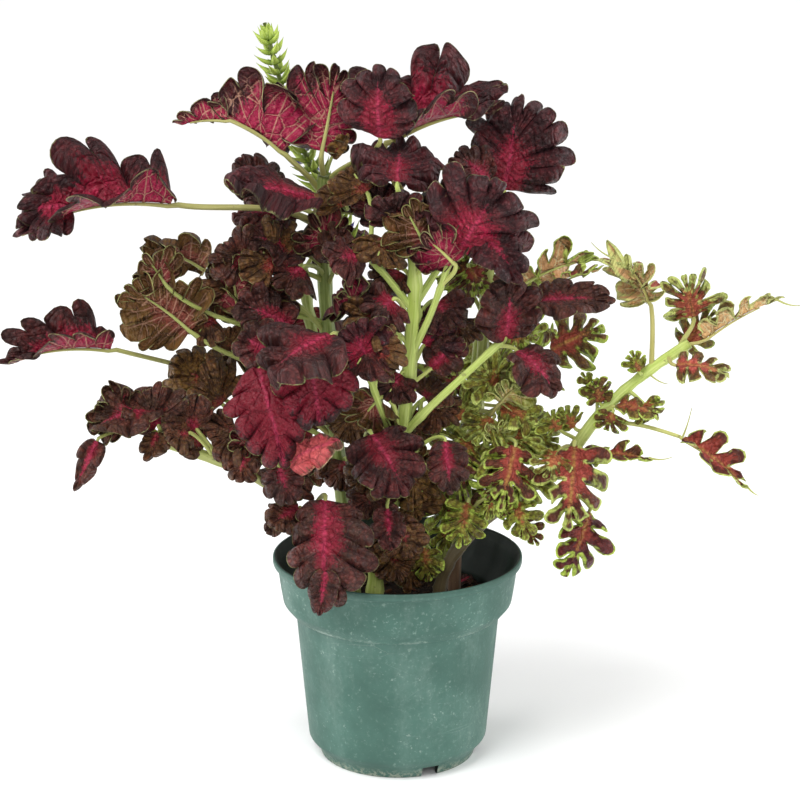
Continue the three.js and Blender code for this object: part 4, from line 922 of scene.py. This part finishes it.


# in both tables the pale colour laid on the raised puckers is a painted highlight, and the deep colour also
# serves as painted shade in the creases
ruffledColours = {
    "dark": "5c1c20", "deep": "260b0d", "olive": "764224", "leafGreen": "7d6a2a", "paintedHighlight": "90595e",
    "crimson": "6c0c1d", "magenta": "b01040", "rose": "e63c68", "warm": "8a3a24", "spine": "c2385e",
    "underPink": "ae1c4a", "underDeep": "7c0e30", "underOlive": "70482a", "underVein": "b98c74",
    "lime": "a3b765", "paintedHighlightPart": 0.6, "underReach": 0.3, "rimWidth": 0.32, "rimPart": 0.5,
    "rimPatch": 0.15,
}
cutColours = {
    "dark": "6c2622", "deep": "421314", "olive": "887230", "leafGreen": "b0c842", "paintedHighlight": "865a4a",
    "crimson": "883428", "magenta": "b24c44", "rose": "dc7e60", "warm": "b06e3c", "spine": "b59a48",
    "underPink": "e0a47a", "underDeep": "cc8660", "underOlive": "d2c878", "underVein": "e2dca8",
    "lime": "b6d24a", "paintedHighlightPart": 0.25, "underReach": 0.5, "rimWidth": 2.1, "rimPart": 0.95,
    "rimPatch": 0.9,
}


def stalkLook():
    # streaked pale green, brown and woody near the soil, pink where it carries a red leaf
    look = Look("stalk", Sheen_Weight=0.15)
    x, y, along = look.attribute("stalkPlace")
    dark, pink, woody = look.attribute("stalkTone")
    streak = look.noise(look.vector(x * 3, y * 3, along * 0.05), 1, 4)
    spots = look.noise(look.place(), 220, 3, 0.6)
    green = look.mix(dark, "a6b951", "4f602c")
    green = look.mix(look.step(streak, 0.35, 0.7) * 0.6, green, look.mix(dark, "d4de8a", "869250"))
    z = look.split(look.place())[2]
    green = look.mix(woody * look.step(z, 0.23, 0.16), green, look.mix(streak, "84744a", "b5b078"))
    green = look.mix(woody * look.step(z, 0.19, 0.13), green, look.mix(streak, "2e2118", "5e4c34"))
    skin = look.mix(pink, green, "a8525a")
    skin = look.mix(look.step(spots, 0.66, 0.72) * 0.5, skin, "5a4a2c")
    return look.finish(skin, 0.5 - 0.1 * streak, streak + 0.3 * spots, 0.0004)


bladeLooks = {
    "ruffled_leaf": bladeLook("ruffledLeaf", ruffledColours), "cut_leaf": bladeLook("cutLeaf", cutColours),
}
stalkFinish = stalkLook()
# how dark, pink and woody
stalkTones = {
    "front_leafy_stem": [0.15, 0, 0.05], "left_leafy_stem": [0.7, 0, 0],
    "low_left_leafy_stem": [0.3, 0.05, 0.6], "right_leafy_stem": [0.3, 0.1, 0.9],
    "right_branch_leafy_stem": [0, 0, 0.9], "back_left_leafy_stem": [0.5, 0.05, 0.1],
    "back_right_leafy_stem": [0.4, 0.05, 0.1],
}


def makeLeafyStem(name, stem, number):
    # one piece of all the blades, and one of the shoots, stalks, threads and hairs
    slot = "cut_leaf" if stem["cut"] > leafForm["deepCut"] else "ruffled_leaf"
    rows = readRows(stem["leaves"]) + readRows(stem["young"])
    leaves = [readLeaf(row, k, stem) for k, row in enumerate(rows)]
    blades = [makeBlade(leaf, 100 * number + k) for k, leaf in enumerate(leaves)]
    makePiece(f"{name}_blades", blades, bladeLooks[slot], slot, name)
    tone = stalkTones[name]
    tubes = []
    for k, shoot in enumerate(stem["shoots"]):
        grown = [leaf for leaf in leaves if leaf["shoot"] == k]
        tubes.append(makeShoot(shoot, grown, tone, 7 * k))
    for k, leaf in enumerate(leaves):
        if leaf["height"]:
            tubes.append(makePetiole(leaf, [tone[0] * 0.5, leaf["tone"][1] * 0.3, tone[2] * 0.3], 3 * k))
    for k, (start, end) in enumerate(stem.get("threads", [])):
        tubes.append(makeThread(start, end, k))
    makePiece(f"{name}_stalks", tubes + [makeHairs(tubes, number)], stalkFinish, slot, name)


for number, (name, stem) in enumerate(leafyStems.items()):
    makeLeafyStem(name, stem, number)
print("leafy stems ready")


# The fallen leaves: middle x, middle y, heading, length, width.
fallenLeaves = {
    "fallen_leaf_1": [42, 27, 60, 18, 12], "fallen_leaf_2": [-44, -8, 150, 24, 16],
    "fallen_leaf_3": [12, -46, 80, 18, 11],
}
fallenForm = {"lobes": 3, "bend": 17, "cut": 0.35, "tone": [0.5, 0.6, 0.1]}


def makeFallenLeaf(name, number, middleX, middleY, heading, length, width):
    # a flat small blade, raised until its lowest point is at the node's own
    form = fallenForm
    reach = length / 2 * np.array([np.cos(np.radians(heading)), np.sin(np.radians(heading)), 0])
    middle = np.array([middleX, middleY, 0])
    row = [0, 0, middle - reach, middle + reach, [0, 0, 1], width, form["lobes"], form["bend"], 0, 0,
           form["tone"]]
    blade = makeBlade(readLeaf(row, number, {"cut": form["cut"], "shoots": []}), 900 + number)
    blade["points"][:, 2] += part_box(name)[0].z * 1000 - blade["points"][:, 2].min()
    makePiece(f"{name}_blade", [blade], bladeLooks["ruffled_leaf"], "ruffled_leaf", name)


for number, (name, row) in enumerate(fallenLeaves.items()):
    makeFallenLeaf(name, number, *row)
print("fallen leaves ready")

spikeForm = {
    "thickness": 6, "tipThickness": 2.4, "sides": 12, "perSpan": 12, "whorls": 23, "places": [0.61, 0.968],
    "turn": 0.4, "bractSteps": 8, "bractSides": 6, "bracts": 4, "bractLength": [14, 11],
    "bractWidth": [2.8, 2.6], "cups": 7, "cupLength": [5.5, 4.5], "cupWidth": [1.7, 1.4],
    "sizes": [0.85, 1.15], "open": 0.85,
    "flowers": 12, "flowerOut": 4, "flowerLength": 6, "flowerWidth": 1.3, "buds": 16, "budTurn": 2.4,
    "budDepth": [11, 0.35], "budOut": [1.6, 0.08], "budLength": [10, 0.3], "budWidth": 2.9, "budOpen": 0.3,
    "route": [[2, 24, 78.3], [2, 24, 101], [-1, 27, 140], [-12, 34, 220], [-24, 37, 290], [-40, 36, 335],
              [-57, 33, 372], [-69.5, 30, 412], [-78, 27, 446]],
}


def flatSection(angle):
    # an ellipse about half as thick as it is wide
    return 1 / np.sqrt((np.cos(angle) / 0.52) ** 2 + np.sin(angle) ** 2)


def makeBract(foot, out, rise, length, width, open, section, tone, seed):
    # a spindle along foot + length (t open out + (0.35 t + 0.65 t²) (1.2 - 0.6 open) rise), of radius
    # width (0.12 + sin(πt^0.7)^0.8) (1 - 0.9 t³), so it leaves outwards, turns up and ends in a point
    t = np.linspace(0, 1, spikeForm["bractSteps"])[:, None]
    path = foot + length * (t * open * out + (0.35 * t + 0.65 * t**2) * (1.2 - 0.6 * open) * rise)
    radii = width * (0.12 + np.sin(np.pi * t[:, 0] ** 0.7) ** 0.8) * (1 - 0.9 * t[:, 0] ** 3)
    return makeTube(path, radii, spikeForm["bractSides"], section, rise - out * 0.3, tone, seed)


def makeSpike():
    # whorls of two pairs of spreading bracts and a ring of cups round the stem, smaller towards the end, a
    # closed cone of bracts at the tip and a few open flowers on the lower whorls
    form = spikeForm
    rng = np.random.default_rng(3)
    path = smoothRoute(form["route"], form["perSpan"])
    along = unit(np.gradient(path, axis=0))
    part = np.linspace(0, 1, len(path))
    radii = form["thickness"] / 2 * (1 - part) + form["tipThickness"] / 2 * part
    green, flower, stem = [0, 0, 0], [1, 0, 0], [0, 1, 0]
    tubes = [makeTube(path, radii, form["sides"], squareSection, (1, 0.4, 0), stem, 0)]
    length = lengthAlong(path)
    for whorl in range(form["whorls"]):
        share = whorl / (form["whorls"] - 1)
        at = length[-1] * np.interp(share, [0, 1], form["places"])
        middle, rise = placeAt(at, length, path), unit(placeAt(at, length, along))
        side = unit(np.cross(rise, (0, 1, 0.2)))
        front = np.cross(rise, side)
        for kind, count in (("bract", form["bracts"]), ("cup", form["cups"])):
            section = flatSection if kind == "bract" else roundSection
            for k in range(count):
                angle = whorl * form["turn"] + 2 * np.pi * (k + 0.5 * (kind == "cup")) / count
                out = np.cos(angle) * side + np.sin(angle) * front
                size = np.interp(share, [0, 1], form[kind + "Length"]) * rng.uniform(*form["sizes"])
                width = np.interp(share, [0, 1], form[kind + "Width"])
                tubes.append(makeBract(middle + out, out, rise, size, width, form["open"], section, green, k))
                if kind == "cup" and whorl < form["flowers"] and k == whorl % count:
                    foot = middle + form["flowerOut"] * out + rise
                    tubes.append(makeBract(foot, out, rise, form["flowerLength"], form["flowerWidth"], 1,
                                           roundSection, flower, k))
    for k in range(form["buds"]):
        angle = form["budTurn"] * k
        out = np.cos(angle) * side + np.sin(angle) * front
        depth, off, size = (first - step * k for first, step in (form["budDepth"], form["budOut"],
                                                                 form["budLength"]))
        tubes.append(makeBract(path[-1] - rise * depth + out * off, out, rise, size, form["budWidth"],
                               form["budOpen"], flatSection, green, k))
    return tubes


def spikeLook():
    # fresh green, darker at each bract's foot as painted shade, with pale flecks, and flowers that turn from
    # white to violet
    look = Look("greenSpike", Specular_IOR_Level=0.3)
    along = look.attribute("stalkPlace")[2]
    flower, stem = look.attribute("stalkTone")[:2]
    patch = look.noise(look.place(), 160, 3)
    fine = look.noise(look.place(), 900, 3)
    # painted shade: each bract a darker olive at its foot, paling along its first few millimetres
    green = look.mix(look.step(along, 0.5, 7), "66802c", "a9bd52")
    green = look.mix(look.step(patch, 0.4, 0.7) * 0.5, green, "8a9c3c")
    green = look.mix(look.step(fine, 0.6, 0.75) * 0.5, green, "d2da96")
    green = look.mix(stem, green, look.mix(patch, "4a5424", "7c8a48"))
    skin = look.mix(flower, green, look.mix(look.step(along, 1.5, 4.5), "e8e6f4", "5a4fae"))
    return look.finish(skin, 0.55 - 0.1 * fine, patch + 0.4 * fine, 0.0003)


makePiece("flower_spike", makeSpike(), spikeLook(), "green_spike", "flower_spike_stem")
print("flower spike ready")

# The pot's wall as [radius, height, rounding] from the middle of its underside, up its outside, over the
# rim and down its inside to the middle of the floor.
potForm = {
    "segments": 160, "arcSteps": 4, "sharpAngle": 40,
    "profile": [
        [0, 5.6, 0], [44.7, 5.6, 0.5], [44.7, 0, 0.5], [47.3, 0, 0.6], [49.2, 5.6, 1.5], [54.8, 11.5, 2],
        [62.2, 91.5, 0.5], [64.6, 92.4, 0.8], [69.8, 98.6, 1.4], [71.4, 108, 4], [73.2, 121.5, 1.2],
        [75.4, 122.6, 0.8], [76, 123.6, 0.6], [76, 127, 0.9], [73.8, 127, 0.9], [71.2, 121, 1.2],
        [68, 109, 3], [62.3, 100, 1.2], [51.1, 12.5, 2], [47.3, 8, 1], [0, 8, 0],
    ],
    # width, depth, height and how far in of a box that cuts the wall at each azimuth
    "notchAzimuths": [24, 86, 148, 210, 264], "footRadius": 47.3, "notch": [10.5, 7.8, 13.2, 0],
    "drain": [8, 6, 18, 6.6],
}


def roundProfile(rows):
    # each corner becomes a quadratic curve between two points that lie its rounding away along the walls
    p = np.array(rows, float)
    corner, size = p[1:-1, :2], p[1:-1, 2:]
    back = corner + unit(p[:-2, :2] - corner) * size
    ahead = corner + unit(p[2:, :2] - corner) * size
    t = np.linspace(0, 1, potForm["arcSteps"])[None, :, None]
    curve = (1 - t) ** 2 * back[:, None] + 2 * t * (1 - t) * corner[:, None] + t**2 * ahead[:, None]
    return np.vstack([p[:1, :2], curve.reshape(-1, 2), p[-1:, :2]])


def turnProfile(profile, segments):
    # point = (r sin a, -r cos a, z); the first and last rings close on one pole each
    angle = 2 * np.pi * np.arange(segments) / segments
    body = profile[1:-1]
    rings = np.stack([body[:, :1] * np.sin(angle), -body[:, :1] * np.cos(angle),
                      np.repeat(body[:, 1:], segments, axis=1)], axis=-1)
    points = np.vstack([rings.reshape(-1, 3), [[0, 0, profile[0, 1]], [0, 0, profile[-1, 1]]]])
    return {"points": points, "faces": tubeFaces(len(body), segments), "values": {}}


def makeCutter(name, azimuths, radius, size):
    # a box across each azimuth: (± w/2, ± d/2 - radius, ± h/2) turned about the axis
    width, depth, height, inset = size
    corners = np.array([[x, y, z] for x in (-1, 1) for y in (-1, 1) for z in (-1, 1)]) / 2
    box = corners * [width, depth, height] + [0, inset - radius, 0]
    turn = np.radians(azimuths)[:, None]
    points = np.stack([box[:, 0] * np.cos(turn) - box[:, 1] * np.sin(turn),
                       box[:, 0] * np.sin(turn) + box[:, 1] * np.cos(turn),
                       np.broadcast_to(box[:, 2], (len(azimuths), 8))], axis=-1).reshape(-1, 3)
    sides = np.array([[0, 1, 3, 2], [4, 6, 7, 5], [0, 4, 5, 1], [2, 3, 7, 6], [0, 2, 6, 4], [1, 5, 7, 3]])
    faces = (sides + 8 * np.arange(len(azimuths))[:, None, None]).reshape(-1, 4)
    mesh = bpy.data.meshes.new(name)
    mesh.from_pydata((points / 1000).tolist(), [], faces.tolist())
    cutter = bpy.data.objects.new(name, mesh)
    scene.collection.objects.link(cutter)
    return cutter


def potLook():
    # teal plastic under a thin veil of dust, with pale flecks, a few marks and scratches, a scuffed foot
    # and an inside darkened to nearly black, partly painted shade and partly dirt
    look = Look("potPlastic", Specular_IOR_Level=0.35)
    x, y, z = look.split(look.place())
    outX, outY = look.split(look.node("ShaderNodeNewGeometry", {}, {}, "Normal"))[:2]
    insideShadeAndDirt = look.step(x * outX + y * outY, 0.004, -0.004)
    cloud = look.noise(look.place(), 22, 5, 0.6)
    streak = look.noise(look.vector(x * 40, y * 40, z * 14), 1, 5, 0.65)
    grain = look.noise(look.place(), 420, 4, 0.7)
    fleck = look.noise(look.place(), 330, 2)
    spots = look.noise(look.place(), 120, 2)
    scratch = look.cells(look.vector(x * 14 + 0.3 * cloud, y * 14, z * 55), 1)
    skin = look.mix(look.step(cloud, 0.3, 0.75), "38594f", "466b60")
    skin = look.mix(look.step(streak + 0.3 * grain, 0.6, 0.95) * 0.42, skin, "748c83")
    dust = look.step(grain, 0.56, 0.72) * look.step(cloud, 0.3, 0.6) * (0.3 + 0.35 * look.step(z, 0.085, 0.1))
    skin = look.mix(dust, skin, "8fa89d")
    skin = look.mix(look.step(fleck, 0.675, 0.73) * look.step(cloud, 0.38, 0.55) * 0.26, skin, "b4c4bb")
    skin = look.mix(look.step(spots, 0.7, 0.76) * 0.22, skin, "a3b8ad")
    lines = look.step(scratch, 0.008, 0.003) * look.step(cloud, 0.55, 0.66)
    skin = look.mix(lines * 0.18, skin, "a0b4aa")
    offCollar = abs(z - 0.0925 - 0.004 * (streak - 0.5))
    band = look.step(offCollar, 0.0024, 0.0003) * look.step(grain + streak, 0.95, 1.25)
    skin = look.mix(band * 0.45, skin, "a8b8ae")
    skin = look.mix(look.step(z, 0.1235, 0.1262) * 0.55, skin, "2b463d")
    scuff = look.step(z + 0.006 * (streak - 0.5), 0.007, 0.001) * look.step(grain, 0.42, 0.6)
    skin = look.mix(scuff * 0.6, skin, "a3a594")
    # painted shade and dirt: the inward faces darkened to nearly black
    skin = look.mix(insideShadeAndDirt, skin, look.mix(look.step(cloud, 0.4, 0.7), "0e1a15", "1b2c25"))
    rough = 0.62 - 0.18 * look.step(cloud, 0.4, 0.7)
    return look.finish(skin, rough, cloud + 0.25 * grain - 0.4 * lines, 0.0005)


def makePot():
    part = turnProfile(roundProfile(potForm["profile"]), potForm["segments"])
    pot = makePiece("pot", [part], potLook(), "pot_plastic", "nursery_pot")
    for name, solver in (("drain", "EXACT"), ("notch", "FAST")):  # this pair leaves the wall closed
        cutter = makeCutter(name, potForm["notchAzimuths"], potForm["footRadius"], potForm[name])
        cut = pot.modifiers.new(name, "BOOLEAN")
        cut.operation = "DIFFERENCE"
        cut.solver = solver
        cut.object = cutter
        whole = bpy.data.meshes.new_from_object(pot.evaluated_get(bpy.context.evaluated_depsgraph_get()))
        pot.modifiers.clear()
        pot.data = whole
        bpy.data.objects.remove(cutter)
    pot.data.shade_smooth()
    pot.data.set_sharp_from_angle(angle=np.radians(potForm["sharpAngle"]))
    print(f"pot: {len(pot.data.loops)} corners after cutting")


makePot()

soilForm = {
    "rings": 34, "segments": 120, "top": 98, "relief": 1.5, "lump": 1.3, "lumpSize": 6, "clearance": 0.3,
    "wall": 62, "foot": [[60, 84], [50.6, 13.5], [47, 8.3]], "crumbs": 900, "crumbSize": [0.5, 1.5],
    "chips": 70, "chipSize": [2.2, 5], "spread": 58, "raise": 0.2, "uneven": [0.75, 1.2], "tilt": 0.5,
}


def soilHeight(x, y):
    # the node's own gentle relief with finer lumps
    lumps = 0.6 * np.sin(0.13 * x + 1) * np.cos(0.12 * y) + 0.4 * np.sin(0.23 * x - 0.19 * y)
    points = np.stack([x, y, np.zeros_like(x)], axis=-1) / soilForm["lumpSize"]
    fine = noise(points, 11) + 0.5 * noise(points * 2.3, 12)
    return soilForm["top"] + soilForm["relief"] * lumps + soilForm["lump"] * fine


def makeCrumbs(rng, count, sizes, stretch, tone):
    # twelve corners of an icosahedron, each pushed in or out by chance, stretched and turned, half sunk
    form = soilForm
    golden = (1 + 5**0.5) / 2
    corners = unit(np.array([[0, a, b * golden] for a in (-1, 1) for b in (-1, 1)]
                            + [[a, b * golden, 0] for a in (-1, 1) for b in (-1, 1)]
                            + [[b * golden, 0, a] for a in (-1, 1) for b in (-1, 1)]))
    gaps = np.linalg.norm(corners[:, None] - corners[None], axis=-1) < 1.1
    trios = [[a, b, c] for a in range(12) for b in range(a + 1, 12) for c in range(b + 1, 12)
             if gaps[a, b] and gaps[b, c] and gaps[a, c]]
    trios = np.array([t if np.linalg.det(corners[t]) > 0 else t[::-1] for t in trios])
    size = rng.uniform(*sizes, (count, 1, 1))
    shape = corners * rng.uniform(*form["uneven"], (count, 12, 1)) * size * np.array(stretch)
    turn = rng.uniform(0, 2 * np.pi, (count, 1))
    tilt = rng.uniform(-form["tilt"], form["tilt"], (count, 1))
    x, y, z = shape[..., 0], shape[..., 1], shape[..., 2]
    x, z = x * np.cos(tilt) - z * np.sin(tilt), x * np.sin(tilt) + z * np.cos(tilt)
    x, y = x * np.cos(turn) - y * np.sin(turn), x * np.sin(turn) + y * np.cos(turn)
    radius = form["spread"] * np.sqrt(rng.random((count, 1)))
    angle = rng.uniform(0, 2 * np.pi, (count, 1))
    middleX, middleY = radius * np.cos(angle), radius * np.sin(angle)
    z = z + soilHeight(middleX, middleY) + form["raise"]
    points = np.stack([x + middleX, y + middleY, z], axis=-1)
    faces = (trios + 12 * np.arange(count)[:, None, None]).reshape(-1, 3)
    chance = np.repeat(rng.random(count), 12)
    values = np.stack([np.full(count * 12, tone), chance, chance * 0], axis=-1)
    return {"points": points.reshape(-1, 3), "faces": [faces], "values": {"soilTone": values}}


def soilLook():
    # dark earth in grains and patches, and brown bark of a tone for each chip
    look = Look("soil", Specular_IOR_Level=0.2)
    chip, chance = look.attribute("soilTone")[:2]
    grain = look.noise(look.place(), 500, 5, 0.7)
    patch = look.noise(look.place(), 90, 3)
    earth = look.mix(look.step(grain + 0.3 * chance, 0.4, 0.8), "17100c", "3c2a1f")
    bark = look.mix(look.step(chance + 0.4 * grain, 0.5, 1.2), "4a2a17", "8a5a34")
    skin = look.mix(chip, look.mix(look.step(patch, 0.5, 0.7) * 0.4, earth, "2c2418"), bark)
    return look.finish(skin, 0.9, grain, 0.0012)


def makeSoil():
    # a disc of rings with the lumpy height, down the pot's inner wall and across the floor
    form = soilForm
    angle = 2 * np.pi * np.arange(form["segments"]) / form["segments"]
    wall = form["wall"] - form["clearance"]
    radii = wall * (np.arange(1, form["rings"] + 1) / form["rings"])[:, None]
    x, y = radii * np.cos(angle), radii * np.sin(angle)
    top = np.stack([x, y, soilHeight(x, y)], axis=-1)
    foot = [np.stack([r * np.cos(angle), r * np.sin(angle), np.full_like(angle, z)], axis=-1)
            for r, z in form["foot"]]
    rings = np.concatenate([top, foot])
    poles = [[0, 0, soilHeight(np.zeros(1), np.zeros(1))[0]], [0, 0, form["foot"][-1][1]]]
    points = np.vstack([rings.reshape(-1, 3), poles])
    faces = [face[:, ::-1] for face in tubeFaces(len(rings), form["segments"])]
    body = {"points": points, "faces": faces, "values": {"soilTone": np.zeros_like(points)}}
    rng = np.random.default_rng(21)
    crumbs = makeCrumbs(rng, form["crumbs"], form["crumbSize"], [1, 1, 0.8], 0)
    chips = makeCrumbs(rng, form["chips"], form["chipSize"], [1, 0.55, 0.25], 1)
    makePiece("soil", [body, crumbs, chips], soilLook(), "soil", "potting_soil")


makeSoil()
print("pot and soil ready")
